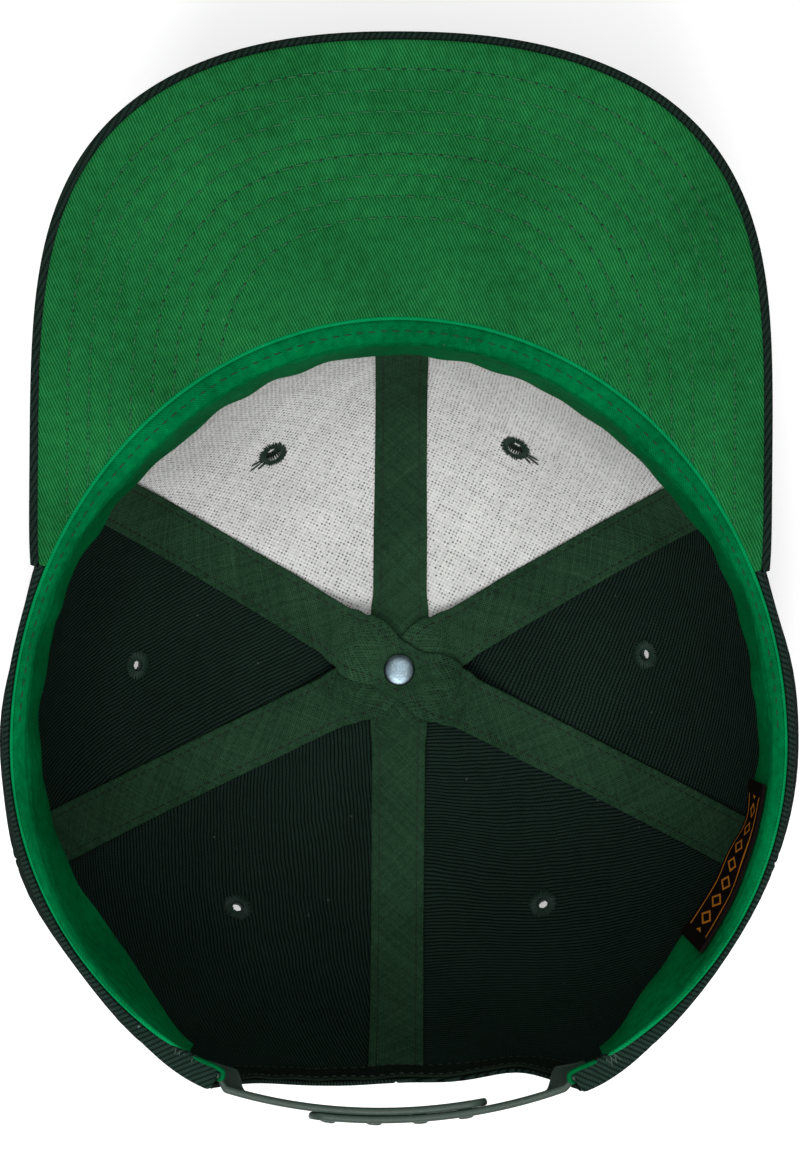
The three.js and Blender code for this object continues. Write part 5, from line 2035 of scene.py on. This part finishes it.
@dataclass
class Closure:
    """The two plastic straps over the arch."""

    form: CapForm = FORM
    width: float = 19.0
    wall: float = 1.9
    rim_margin: float = 0.6
    lean: float = 2.0
    skew: float = 1.65
    sag: float = 0.6
    sag_half_span: float = 21.0
    edge_margin: float = 0.8
    freeing: float = 3.5
    root_x: float = 48.2
    inner_end_x: float = 23.4
    outer_end_x: float = 21.6
    peg_pitch: float = 11.5
    peg_end_margin: float = 6.0
    peg_count: int = 4
    peg_radius: float = 1.9
    peg_head: float = 0.2
    tape_wall: float = 1.0
    corner: float = 4.5

    @property
    def top(self) -> float:
        """Height of the straps' upper edge."""
        return self.form.crown_depth - self.rim_margin

    @property
    def inner_inset(self) -> float:
        """Inset of the inner strap's middle."""
        return self.wall + 0.12

    def rim_angle(self, x: float | np.ndarray) -> np.ndarray:
        """The direction, counted from the peak, in which the rim is x from the middle."""
        turns = np.linspace(100, 180, 4000)
        return np.interp(-np.asarray(x), -self.form.rim_radius(turns) * np.sin(np.radians(turns)), turns)

    def free_point(self, degrees: np.ndarray, inset: np.ndarray, height: np.ndarray) -> np.ndarray:
        """Points along the rim moved in square to it."""
        ahead = plan_point(degrees + 0.5, self.form.rim_radius(degrees + 0.5), 0.0)
        behind = plan_point(degrees - 0.5, self.form.rim_radius(degrees - 0.5), 0.0)
        along = unit(ahead - behind)
        inward = np.stack([along[:, 1], -along[:, 0], np.zeros(len(degrees))], axis=1)
        point = plan_point(degrees, self.form.rim_radius(degrees), height)
        return point + inward * inset[:, None]

    def point(
        self, side: int, angle: np.ndarray, height: np.ndarray, base_inset: float, shift: np.ndarray
    ) -> np.ndarray:
        """Points of a strap moved inwards from its middle.

        Args:
            side: 1 on the wearer's left, -1 on the wearer's right.
            angle: Directions counted from the peak round the strap's own side.
            height: Heights.
            base_inset: Inset of the strap's middle from the rim.
            shift: Distances moved inwards.

        Returns:
            The points.
        """
        form = self.form
        degrees = side * angle
        lean = self.lean * (self.top - height) / self.width
        x = form.rim_radius(degrees) * np.sin(np.radians(degrees))
        sagging = self.sag * (1 - (x / self.sag_half_span) ** 2)
        inset = base_inset + self.skew * x / form.arch_half_width + sagging
        free = self.free_point(degrees, inset + shift - lean, height)
        root_inset = form.lining_inset + self.tape_wall + form.gap + self.wall / 2
        tucked = form.crown(degrees, form.row_at_height(height), root_inset + shift)
        tucked[:, 2] = height
        depth = (form.crown_depth - height) / form.arch_height
        tucked_x = form.arch_half_width * np.sqrt(1 - depth**2) - self.edge_margin
        ease = smoothstep(angle, self.rim_angle(tucked_x), self.rim_angle(tucked_x - self.freeing))
        return tucked + (free - tucked) * ease[:, None]

    def peg_angles(self) -> np.ndarray:
        """Directions of the pegs from near the inner strap's free end towards its root."""
        per_degree = float(self.form.rim_radius(180.0)) * math.pi / 180
        first = 360 - self.rim_angle(self.inner_end_x) - self.peg_end_margin / per_degree
        return first - np.arange(self.peg_count) * self.peg_pitch / per_degree

    def strap(self, kind: StrapKind) -> bpy.types.Object:
        """Makes one strap with its raised border, and its holes if it has them."""
        pegs = kind is StrapKind.PEGS
        side, end_x, inset = (-1, self.inner_end_x, self.inner_inset) if pegs else (1, self.outer_end_x, 0.0)
        per_degree = float(self.form.rim_radius(180.0)) * math.pi / 180
        start, end = self.rim_angle(self.root_x), 360 - self.rim_angle(end_x)
        length = (end - start) * per_degree
        edge = np.array([0, 0.08, 0.2, 0.4, 0.7, 1.1, 1.7, 2.0, 2.3])
        along = np.concatenate([edge, np.linspace(3.2, length - 3.2, 130), length - edge[::-1]])
        up = np.concatenate([edge, np.linspace(3.2, self.width - 3.2, 14), self.width - edge[::-1]])
        up_grid, along_grid = np.meshgrid(up, along, indexing="ij")
        places = np.stack([along_grid, up_grid], axis=-1).reshape(-1, 2)
        holes = []
        if not pegs:
            angles = self.peg_angles()
            step = angles[1] - angles[0]
            for angle in [angles[0] - 2 * step, angles[0] - step, *angles]:
                at = (360 - angle - start) * per_degree
                if at < length - self.peg_radius - 3.2:
                    middle = np.array([at, self.width / 2])
                    holes.append((middle, np.ones(2), self.peg_radius + self.form.gap))
        everything, faces = punch(places, len(up), len(along), holes, 3.4, 3)
        s, h = everything[:, 0], everything[:, 1]
        corner = np.maximum(np.abs(h - self.width / 2) - (self.width / 2 - self.corner), 0) / self.corner
        pull = self.corner * (1 - np.sqrt(np.maximum(1 - corner**2, 0)))
        s = s - pull * smoothstep(s / length, 0.55, 1.0) ** 3
        end_away = np.minimum(everything[:, 0], length - everything[:, 0])
        away = np.minimum(end_away, np.minimum(h, self.width - h))
        border = 0.22 * smoothstep(away, 1.75, 2.05)
        thick = (self.wall / 2 - border) * rounded(away, 0.7)
        angle = start + s / per_degree
        height = self.top - self.width + h
        front = self.point(side, angle, height, inset, -thick)
        back = self.point(side, angle, height, inset, thick)
        return Sheet(front, back, faces, everything).build("moulded_" + kind.value)

    def pegs(self) -> bpy.types.Object:
        """Makes the pegs of the inner strap as one mesh."""
        points, faces = [], []
        sides = 24
        total = self.wall / 2 + self.form.gap + self.wall + self.peg_head
        profile = [(1.0, 0.3), (0.94, total - 0.9), (1.06, total - 0.55), (1.0, total - 0.2), (0.8, total)]
        for angle in self.peg_angles():
            at, height = np.array([angle]), np.array([self.top - self.width / 2])
            seat = self.point(-1, at, height, self.inner_inset, np.zeros(1))[0]
            turns = np.array([-angle, -angle])
            pair = self.free_point(turns, np.array([0.0, 1.0]), np.zeros(2))
            outward_axis = unit(pair[0] - pair[1])
            across = unit(np.cross(outward_axis, [0.0, 0.0, 1.0]))
            upright = np.cross(across, outward_axis)
            first = len(points)
            for share, reach in profile:
                for k in range(sides):
                    turn = 2 * math.pi * k / sides
                    radial = across * math.cos(turn) + upright * math.sin(turn)
                    points.append(seat + outward_axis * reach + radial * self.peg_radius * share)
            for level in range(len(profile) - 1):
                for k in range(sides):
                    low, high = first + level * sides, first + (level + 1) * sides
                    after = (k + 1) % sides
                    faces.append((low + k, low + after, high + after, high + k))
            faces.append(tuple(first + k for k in reversed(range(sides))))
            top = first + (len(profile) - 1) * sides
            faces.append(tuple(top + k for k in range(sides)))
        places = np.array(points)
        piece = make_object("moulded_pegs", places, faces, places[:, :2])
        outward(piece)
        return piece

    def build(self, dresser: Dresser) -> None:
        """Makes and dresses the straps."""
        inner = self.strap(StrapKind.PEGS)
        dresser.dress(inner, "strap", [StrapKind.PEGS.value])
        dresser.dress(self.pegs(), "strap")
        dresser.dress(self.strap(StrapKind.HOLES), "strap", [StrapKind.HOLES.value])


def srgb(red: float, green: float, blue: float) -> tuple[float, float, float, float]:
    """A colour given by its screen values from 0 to 255."""
    values = [channel / 255 for channel in (red, green, blue)]
    linear = [v / 12.92 if v <= 0.04045 else ((v + 0.055) / 1.055) ** 2.4 for v in values]
    return (linear[0], linear[1], linear[2], 1.0)


class Weaves:
    """Shader groups that the finishes share. Places go in as millimetres."""

    def __init__(self) -> None:
        """Builds the groups."""
        self.twill = self.build_twill()
        self.plain = self.build_plain()
        self.wear = self.build_wear()

    @staticmethod
    def wave(build: TreeBuilder, value: object, turns: float = math.pi) -> bpy.types.NodeSocket:
        """Adds the size of a sine, which is 0 at each whole number of the value."""
        return build.math("ABSOLUTE", build.math("SINE", build.math("MULTIPLY", value, turns)))

    @staticmethod
    def turned(
        build: TreeBuilder, start: bpy.types.Node
    ) -> tuple[bpy.types.NodeSocket, bpy.types.NodeSocket]:
        """Adds the place along and across a weave's turn, with a slow wander."""
        drift = build.noise(start.outputs["Place"], 0.09, 3.0)
        angle = build.math("MULTIPLY", start.outputs["Turn"], -math.pi / 180)
        turned = build.node(
            "ShaderNodeVectorRotate",
            {"Vector": start.outputs["Place"], "Angle": angle},
            rotation_type="Z_AXIS",
        )
        split = build.node("ShaderNodeSeparateXYZ", {0: turned.outputs[0]})
        wander = build.math("MULTIPLY", drift, start.outputs["Wander"])
        return split.outputs[0], build.math("ADD", split.outputs[1], wander)

    def build_twill(self) -> bpy.types.NodeTree:
        """Ribs that run at a turn, each a row of slanting strands."""
        tree, build, start, end = open_group(
            "Twill",
            "ShaderNodeTree",
            {
                "Place": ("NodeSocketVector", None),
                "Turn": ("NodeSocketFloat", 60.0),
                "Spacing": ("NodeSocketFloat", 1.0),
                "Strand": ("NodeSocketFloat", 0.7),
                "Wander": ("NodeSocketFloat", 1.0),
            },
            {"Height": "NodeSocketFloat", "Rib": "NodeSocketFloat", "Tone": "NodeSocketFloat"},
        )
        along, across = self.turned(build, start)
        ribs = build.math("DIVIDE", across, start.outputs["Spacing"])
        rib = build.math("POWER", self.wave(build, ribs), 0.8)
        step = build.math("MULTIPLY", build.math("FLOOR", ribs), 0.37)
        lean = build.math("ADD", build.math("DIVIDE", along, start.outputs["Strand"]), ribs)
        strand = self.wave(build, build.math("ADD", lean, step))
        fine = build.noise(start.outputs["Place"], 2.6, 3.0, 0.7)
        mixed = build.math("MULTIPLY", rib, build.math("MULTIPLY_ADD", strand, 0.45, 0.55))
        height = build.math("MULTIPLY_ADD", build.math("SUBTRACT", fine, 0.5), 0.5, mixed)
        tone = build.noise(start.outputs["Place"], 0.35, 4.0, 0.65)
        tree.links.new(height, end.inputs["Height"])
        tree.links.new(mixed, end.inputs["Rib"])
        tree.links.new(tone, end.inputs["Tone"])
        return tree

    def build_plain(self) -> bpy.types.NodeTree:
        """Two sets of yarns that cross, with pinholes between them."""
        tree, build, start, end = open_group(
            "Plain weave",
            "ShaderNodeTree",
            {
                "Place": ("NodeSocketVector", None),
                "Turn": ("NodeSocketFloat", 65.0),
                "Spacing": ("NodeSocketFloat", 0.95),
                "Wander": ("NodeSocketFloat", 1.0),
            },
            {"Height": "NodeSocketFloat", "Hole": "NodeSocketFloat", "Tone": "NodeSocketFloat"},
        )
        along, across = self.turned(build, start)
        warp = build.math("DIVIDE", across, start.outputs["Spacing"])
        weft = build.math("DIVIDE", along, start.outputs["Spacing"])
        low, high = self.wave(build, warp), self.wave(build, weft)
        parity = build.math("ADD", build.math("FLOOR", warp), build.math("FLOOR", weft))
        swapped = build.math("PINGPONG", parity, 1.0)
        height = build.node("ShaderNodeMix", {0: swapped, 2: low, 3: high}, data_type="FLOAT")
        hole = build.math("MULTIPLY", build.math("SUBTRACT", 1.0, low), build.math("SUBTRACT", 1.0, high))
        noise = build.noise(start.outputs["Place"], 0.8, 4.0, 0.7)
        cell = build.node(
            "ShaderNodeCombineXYZ", {0: build.math("ROUND", warp), 1: build.math("ROUND", weft), 2: 0.5}
        )
        chance = build.node("ShaderNodeTexWhiteNoise", {"Vector": cell.outputs[0]}, noise_dimensions="3D")
        open_share = build.math("MULTIPLY", build.math("POWER", chance.outputs[0], 1.6), 2.2)
        uneven = build.math("MULTIPLY", hole, build.math("MULTIPLY", noise, open_share))
        yarns = []
        for value, salt in ((warp, 0.37), (weft, 5.91)):
            number = build.math("ADD", build.math("FLOOR", value), salt)
            yarn = build.node("ShaderNodeTexWhiteNoise", {"W": number}, noise_dimensions="1D")
            yarns.append(yarn.outputs[0])
        streak = build.math("SUBTRACT", build.math("ADD", *yarns), 1.0)
        tone = build.math("MULTIPLY_ADD", streak, 0.22, noise)
        tree.links.new(height.outputs[0], end.inputs["Height"])
        tree.links.new(uneven, end.inputs["Hole"])
        tree.links.new(tone, end.inputs["Tone"])
        return tree

    @staticmethod
    def build_wear() -> bpy.types.NodeTree:
        """Lint, faint dust and soft uneven tone over a whole piece."""
        tree, build, start, end = open_group(
            "Wear",
            "ShaderNodeTree",
            {"Place": ("NodeSocketVector", None), "Lint": ("NodeSocketFloat", 0.5)},
            {"Lint": "NodeSocketFloat", "Dust": "NodeSocketFloat"},
        )
        cells = build.node(
            "ShaderNodeTexVoronoi", {"Vector": start.outputs["Place"], "Scale": 0.16, "Randomness": 1.0}
        )
        bend = build.noise(start.outputs["Place"], 1.4)
        near = build.math("MULTIPLY_ADD", build.math("SUBTRACT", bend, 0.5), 0.12, cells.outputs[0])
        speck = build.math("LESS_THAN", near, 0.05)
        chance = build.node("ShaderNodeSeparateXYZ", {0: cells.outputs[1]}).outputs[0]
        picked = build.math("GREATER_THAN", chance, 0.85)
        lint = build.math("MULTIPLY", build.math("MULTIPLY", speck, picked), start.outputs["Lint"])
        dust = build.noise(start.outputs["Place"], 0.03, 5.0)
        tree.links.new(lint, end.inputs["Lint"])
        tree.links.new(dust, end.inputs["Dust"])
        return tree


class Surface:
    """One material under construction: its tree, its shader and its place in millimetres."""

    def __init__(self, name: str, by_cloth: bool = True) -> None:
        """Starts a material.

        Args:
            name: The material's name.
            by_cloth: True to read places from the flat cloth, False to read them from the object.
        """
        self.material = bpy.data.materials.new(name)
        self.material.use_nodes = True
        self.build = TreeBuilder(self.material.node_tree)
        self.shader = self.material.node_tree.nodes["Principled BSDF"]
        if by_cloth:
            source = self.build.node("ShaderNodeUVMap", uv_map=CLOTH_MAP).outputs[0]
        else:
            source = self.build.node("ShaderNodeTexCoord").outputs["Object"]
        self.place = self.build.scaled(source, 1 / METRES)

    def filled(self, tree: bpy.types.NodeTree, values: dict[str, object]) -> bpy.types.Node:
        """Adds a shared group with its inputs set."""
        made = self.build.tree.nodes.new("ShaderNodeGroup")
        made.node_tree = tree
        self.build.tree.links.new(self.place, made.inputs["Place"])
        for label, value in values.items():
            made.inputs[label].default_value = value
        return made

    def set(self, **values: object) -> None:
        """Sets or links the shader's inputs, with spaces written as underscores."""
        for label, value in values.items():
            socket = self.shader.inputs[label.replace("_", " ")]
            if isinstance(value, bpy.types.NodeSocket):
                self.build.tree.links.new(value, socket)
            else:
                socket.default_value = value

    def relief(self, height: bpy.types.NodeSocket, millimetres: float, strength: float = 1.0) -> None:
        """Adds fine relief of a height."""
        bump = self.build.node(
            "ShaderNodeBump", {"Height": height, "Distance": millimetres * METRES, "Strength": strength}
        )
        self.set(Normal=bump.outputs["Normal"])


@dataclass(frozen=True)
class TwillCloth:
    """A ribbed cloth, with its weave in millimetres and degrees; its rib colour is painted highlight on the
    ribs and its groove colour painted shade between them.
    """

    name: str
    rib: Colour
    groove: Colour
    turn: float
    spacing: float
    strand: float = 0.8
    wander: float = 1.2
    contrast: float = 1.0
    tone: float = 0.25
    relief: float = 0.16
    roughness: float = 0.82
    sheen: float = 0.12
    specular: float = 0.2
    lint: float = 0.5

    def build(self, weaves: Weaves) -> bpy.types.Material:
        """Builds the material."""
        surface = Surface(self.name)
        build = surface.build
        twill = surface.filled(
            weaves.twill,
            {"Turn": self.turn, "Spacing": self.spacing, "Strand": self.strand, "Wander": self.wander},
        )
        wear = surface.filled(weaves.wear, {"Lint": self.lint})
        least = 0.5 - self.contrast / 2
        # Mixes the painted shade of the grooves with the painted highlight of the ribs by the twill's rib
        # share.
        share = build.math("MULTIPLY_ADD", twill.outputs["Rib"], self.contrast, least, clamp=True)
        woven = build.mix(share, srgb(*self.groove), srgb(*self.rib))
        tone = build.math("ADD", twill.outputs["Tone"], wear.outputs["Dust"])
        shade = build.math("MULTIPLY_ADD", build.math("SUBTRACT", tone, 1.0), self.tone * 2, 1.0)
        toned = build.scaled(woven, shade)
        lint = build.math("MULTIPLY", wear.outputs["Lint"], 0.5)
        linted = build.mix(lint, toned, srgb(150, 160, 155))
        surface.set(
            Base_Color=linted,
            Roughness=self.roughness,
            Sheen_Weight=self.sheen,
            Sheen_Roughness=0.5,
            Sheen_Tint=srgb(*self.rib),
            Specular_IOR_Level=self.specular,
            IOR=1.08,
        )
        surface.relief(twill.outputs["Height"], self.relief)
        return surface.material


@dataclass(frozen=True)
class PlainCloth:
    """A plainly woven cloth, with its weave in millimetres and degrees."""

    name: str
    yarn: Colour
    hole: Colour
    turn: float
    spacing: float
    openness: float = 1.0
    tone: float = 0.3
    relief: float = 0.12
    roughness: float = 0.85
    sheen: float = 0.08
    lint: float = 0.5

    def build(self, weaves: Weaves) -> bpy.types.Material:
        """Builds the material."""
        surface = Surface(self.name)
        build = surface.build
        plain = surface.filled(weaves.plain, {"Turn": self.turn, "Spacing": self.spacing, "Wander": 1.5})
        wear = surface.filled(weaves.wear, {"Lint": self.lint})
        share = build.math("MULTIPLY", plain.outputs["Hole"], 2.2 * self.openness, clamp=True)
        woven = build.mix(share, srgb(*self.yarn), srgb(*self.hole))
        # Lower yarns are darkened as painted shade in the weave's hollows.
        raised = build.math("MULTIPLY_ADD", build.math("SUBTRACT", plain.outputs["Height"], 0.6), 0.25, 1.0)
        tone = build.math("ADD", plain.outputs["Tone"], wear.outputs["Dust"])
        shade = build.math("MULTIPLY_ADD", build.math("SUBTRACT", tone, 1.0), self.tone, 1.0)
        toned = build.scaled(woven, build.math("MULTIPLY", raised, shade))
        lint = build.math("MULTIPLY", wear.outputs["Lint"], 0.4)
        linted = build.mix(lint, toned, srgb(120, 135, 125))
        surface.set(
            Base_Color=linted,
            Roughness=self.roughness,
            Sheen_Weight=self.sheen,
            Sheen_Roughness=0.5,
            Specular_IOR_Level=0.2,
            IOR=1.08,
        )
        surface.relief(plain.outputs["Height"], self.relief)
        return surface.material


@dataclass(frozen=True)
class Thread:
    """Twisted thread with small uneven tone."""

    name: str
    colour: Colour
    roughness: float = 0.6
    sheen: float = 0.2

    def build(self, weaves: Weaves) -> bpy.types.Material:
        """Builds the material."""
        surface = Surface(self.name, by_cloth=False)
        build = surface.build
        wear = surface.filled(weaves.wear, {"Lint": 0.0})
        fine = build.noise(surface.place, 4.0, 3.0)
        tone = build.math("ADD", fine, wear.outputs["Dust"])
        shade = build.math("MULTIPLY_ADD", build.math("SUBTRACT", tone, 1.0), 0.9, 1.0)
        surface.set(
            Base_Color=build.scaled(srgb(*self.colour)[:3], shade),
            Roughness=self.roughness,
            Sheen_Weight=self.sheen,
            Sheen_Tint=srgb(*self.colour),
            Specular_IOR_Level=0.35,
        )
        surface.relief(fine, 0.05)
        return surface.material


@dataclass(frozen=True)
class Moulded:
    """Moulded plastic or pressed metal with faint unevenness."""

    name: str
    colour: Colour
    worn: Colour
    roughness: float
    metallic: float = 0.0
    relief: float = 0.03
    specular: float = 0.4

    def build(self, weaves: Weaves) -> bpy.types.Material:
        """Builds the material."""
        surface = Surface(self.name, by_cloth=False)
        build = surface.build
        wear = surface.filled(weaves.wear, {"Lint": 0.0})
        fine = build.noise(surface.place, 1.8, 5.0)
        drawn = build.node("ShaderNodeMapping", {0: surface.place, 3: (0.15, 2.0, 2.0)})
        scratch = build.noise(drawn.outputs[0], 3.0)
        share = build.math("MULTIPLY_ADD", fine, 1.6, -0.4, clamp=True)
        rough = build.math("MULTIPLY_ADD", scratch, 0.2, self.roughness - 0.1)
        dusty = build.math("MULTIPLY_ADD", wear.outputs["Dust"], 0.5, share, clamp=True)
        surface.set(
            Base_Color=build.mix(dusty, srgb(*self.colour), srgb(*self.worn)),
            Roughness=rough,
            Metallic=self.metallic,
            Specular_IOR_Level=self.specular,
        )
        surface.relief(fine, self.relief)
        return surface.material


@dataclass(frozen=True)
class WovenLabel:
    """A woven label with two rules and a row of diamonds, in shares of its size."""

    name: str
    ground: Colour
    figure: Colour
    diamonds: float = 9.0

    def build(self, weaves: Weaves) -> bpy.types.Material:
        """Builds the material."""
        surface = Surface(self.name)
        build = surface.build
        split = build.node("ShaderNodeSeparateXYZ", {0: surface.place})
        x = build.math("MULTIPLY", split.outputs[0], 0.01)
        y = build.math("MULTIPLY", split.outputs[1], 0.01)
        from_middle = build.math("ABSOLUTE", build.math("SUBTRACT", y, 0.5))
        rule = build.near(from_middle, 0.36, 0.022)
        ends = build.near(x, 0.5, 0.42)
        turn = build.math("FRACT", build.math("MULTIPLY", x, self.diamonds))
        cell = build.math("ABSOLUTE", build.math("SUBTRACT", turn, 0.5))
        shape = build.math("ADD", build.math("MULTIPLY", cell, 0.5), from_middle)
        ring = build.near(shape, 0.17, 0.035)
        figure = build.math("MULTIPLY", build.math("MAXIMUM", rule, ring), ends)
        wear = surface.filled(weaves.wear, {"Lint": 0.2})
        fine = build.noise(surface.place, 1.2)
        weft = build.math("ABSOLUTE", build.math("SINE", build.math("MULTIPLY", split.outputs[1], 1.4)))
        woven = build.math("MULTIPLY", figure, build.math("MULTIPLY_ADD", fine, 0.5, 0.8), clamp=True)
        ground = build.mix(wear.outputs["Dust"], srgb(*self.ground), srgb(*[v * 1.2 for v in self.ground]))
        surface.set(
            Base_Color=build.mix(woven, ground, srgb(*self.figure)),
            Roughness=0.8,
            Specular_IOR_Level=0.1,
            IOR=1.05,
        )
        surface.relief(build.math("ADD", weft, woven), 0.06)
        return surface.material


@dataclass(frozen=True)
class PaleFloor:
    """The pale floor under the cap."""

    name: str = "floor"
    colour: Colour = (246, 246, 246)
    glow: float = 0.3

    def build(self) -> bpy.types.Material:
        """Builds the material."""
        surface = Surface(self.name, by_cloth=False)
        surface.set(
            Base_Color=srgb(*self.colour),
            Roughness=0.9,
            Specular_IOR_Level=0.1,
            Emission_Color=(1.0, 1.0, 1.0, 1.0),
            Emission_Strength=self.glow,
        )
        return surface.material


FINISHES = (
    PlainCloth("buckram", (204, 204, 202), (66, 68, 66), 65, 0.92, 0.8, 0.4, 0.12, 0.9, 0.0, 0.1),
    PlainCloth("tape", (36, 62, 43), (10, 20, 13), 45, 0.52, 0.8, 1.2, 0.1, 0.9, 0.0, 0.2),
    PlainCloth("arch_tape", (18, 27, 20), (8, 12, 9), 45, 0.6, 0.8, 0.6, 0.08, 0.9, 0.0, 0.1),
    # The band's rib and groove colours are its lit and shaded tones, painted highlight and painted shade;
    # its strong tone of 0.7 paints the satin's soft sheen and fold shade as random brighter and darker
    # patches.
    TwillCloth(
        "sweatband", (0, 100, 52), (0, 76, 38), 32, 0.55, 1.2, 0.8, 0.8, 0.7, 0.05, 0.6, 0.0, 0.1, 0.1
    ),
    # A brighter copy of the sweatband's cloth: painted highlight along the band's folded edge.
    TwillCloth(
        "band_edge", (6, 134, 76), (0, 96, 52), 70, 0.8, 1.2, 0.8, 0.8, 0.3, 0.05, 0.6, 0.0, 0.1, 0.1
    ),
    # Each twill's first colour is painted highlight on its ribs and its second painted shade in its grooves.
    TwillCloth("peak_cloth", (30, 44, 38), (8, 14, 11), 62, 1.3, specular=0.08, sheen=0.0),
    TwillCloth("rim_cloth", (34, 52, 45), (8, 15, 12), 0, 1.25, specular=0.05, sheen=0.0, relief=0.25),
    TwillCloth(
        "peak_lining", (32, 108, 56), (2, 62, 26), 115, 0.72, 0.8, 1.0, 1.3, 0.5, 0.16, 0.85, 0.0, 0.05, 0.15
    ),
    TwillCloth("button_cloth", (30, 44, 38), (8, 14, 11), 62, 1.3, specular=0.08, sheen=0.0),
    Moulded("rivet", (118, 136, 146), (84, 96, 102), 0.32, 1.0, 0.02),
    WovenLabel("label", (16, 12, 11), (170, 104, 32)),
    Moulded("strap", (54, 70, 62), (40, 54, 47), 0.45, 0.0, 0.03, 0.25),
    Thread("tape_thread", (4, 13, 8)),
    Thread("band_thread", (0, 46, 23)),
    Thread("green_thread", (0, 84, 40)),
    # A darker copy of the green thread: painted shade in the needle holes.
    Thread("needle_hole_shade_thread", (2, 38, 20)),
    Thread("dark_thread", (20, 31, 26)),
    Thread("eyelet_thread", (8, 34, 25)),
    Thread("tack_thread", (52, 72, 62)),
)


def finishes() -> dict[str, bpy.types.Material]:
    """Builds every material."""
    weaves = Weaves()
    panels = [
        TwillCloth(
            panel.name,
            # Painted highlight on the ribs, then painted shade in the grooves.
            (29, 43, 37),
            (3, 6, 5),
            panel.rib_turn,
            1.0,
            0.9,
            1.6,
            1.3,
            0.3,
            relief=0.25,
            roughness=0.85,
            sheen=0.0,
            specular=0.07,
            lint=0.2,
        )
        for panel in PANELS
    ]
    return {finish.name: finish.build(weaves) for finish in [*FINISHES, *panels]}


@dataclass
class Studio:
    """A pale floor, soft lights and the camera over the cap."""

    eye: tuple[float, float, float] = (0.0, 25.0, 1306.0)
    lens: float = 149.6
    sensor: float = 36.0
    roll: float = 0.45

    def build(self) -> None:
        """Makes the floor, the lights and the camera."""
        scene = bpy.context.scene
        mesh = bpy.data.meshes.new("floor")
        reach = 6.0
        corners = [(-reach, -reach, 0), (reach, -reach, 0), (reach, reach, 0), (-reach, reach, 0)]
        mesh.from_pydata(corners, [], [(0, 1, 2, 3)])
        floor = bpy.data.objects.new("floor", mesh)
        scene.collection.objects.link(floor)
        floor.data.materials.append(PaleFloor().build())
        floor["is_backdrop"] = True
        world = bpy.data.worlds.new("studio")
        scene.world = world
        world.use_nodes = True
        world.node_tree.nodes["Background"].inputs["Color"].default_value = (1, 1, 1, 1)
        world.node_tree.nodes["Background"].inputs["Strength"].default_value = 0.55
        self.lamp("key", (-0.1, -0.8, 1.55), (0, 0.02, 0.05), 0.9, 21)
        self.lamp("overhead", (0.05, 0.2, 1.8), (0, 0, 0.05), 0.9, 8)
        camera = bpy.data.cameras.new("camera")
        camera.lens = self.lens
        camera.sensor_width = self.sensor
        camera.sensor_fit = "AUTO"
        camera.clip_start, camera.clip_end = 0.05, 20
        holder = bpy.data.objects.new("camera", camera)
        scene.collection.objects.link(holder)
        holder.location = Vector(self.eye) * METRES
        holder.rotation_euler = (0, 0, math.radians(self.roll))
        scene.camera = holder
        scene.view_settings.view_transform = "Standard"

    @staticmethod
    def lamp(name: str, place: tuple, target: tuple, size: float, power: float) -> None:
        """Adds one soft square lamp that points at a target."""
        data = bpy.data.lights.new(name, "AREA")
        data.shape, data.size, data.energy = "SQUARE", size, power
        lamp = bpy.data.objects.new(name, data)
        lamp.location = place
        lamp.rotation_euler = (Vector(target) - Vector(place)).to_track_quat("-Z", "Y").to_euler()
        bpy.context.scene.collection.objects.link(lamp)


def corners() -> list[list[float]]:
    """The shown object's box as plain numbers."""
    return [[float(value) for value in corner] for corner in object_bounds()]


def main() -> None:
    """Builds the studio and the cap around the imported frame."""
    logging.basicConfig(level=logging.INFO, format="%(name)s: %(message)s")
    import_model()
    Studio().build()
    dresser = Dresser(finishes())
    stitches = Stitcher(stitch_tree(), thread_tree())
    Crown().build(dresser)
    Tapes().build(dresser, stitches)
    Sweatband().build(dresser, stitches)
    RimFold().build(dresser, stitches)
    Peak().build(dresser, stitches)
    Button().build(dresser)
    Eyelets().build(dresser, stitches)
    Closure().build(dresser)
    LOG.info("%d pieces", dresser.made)


if __name__ == "__main__":
    main()
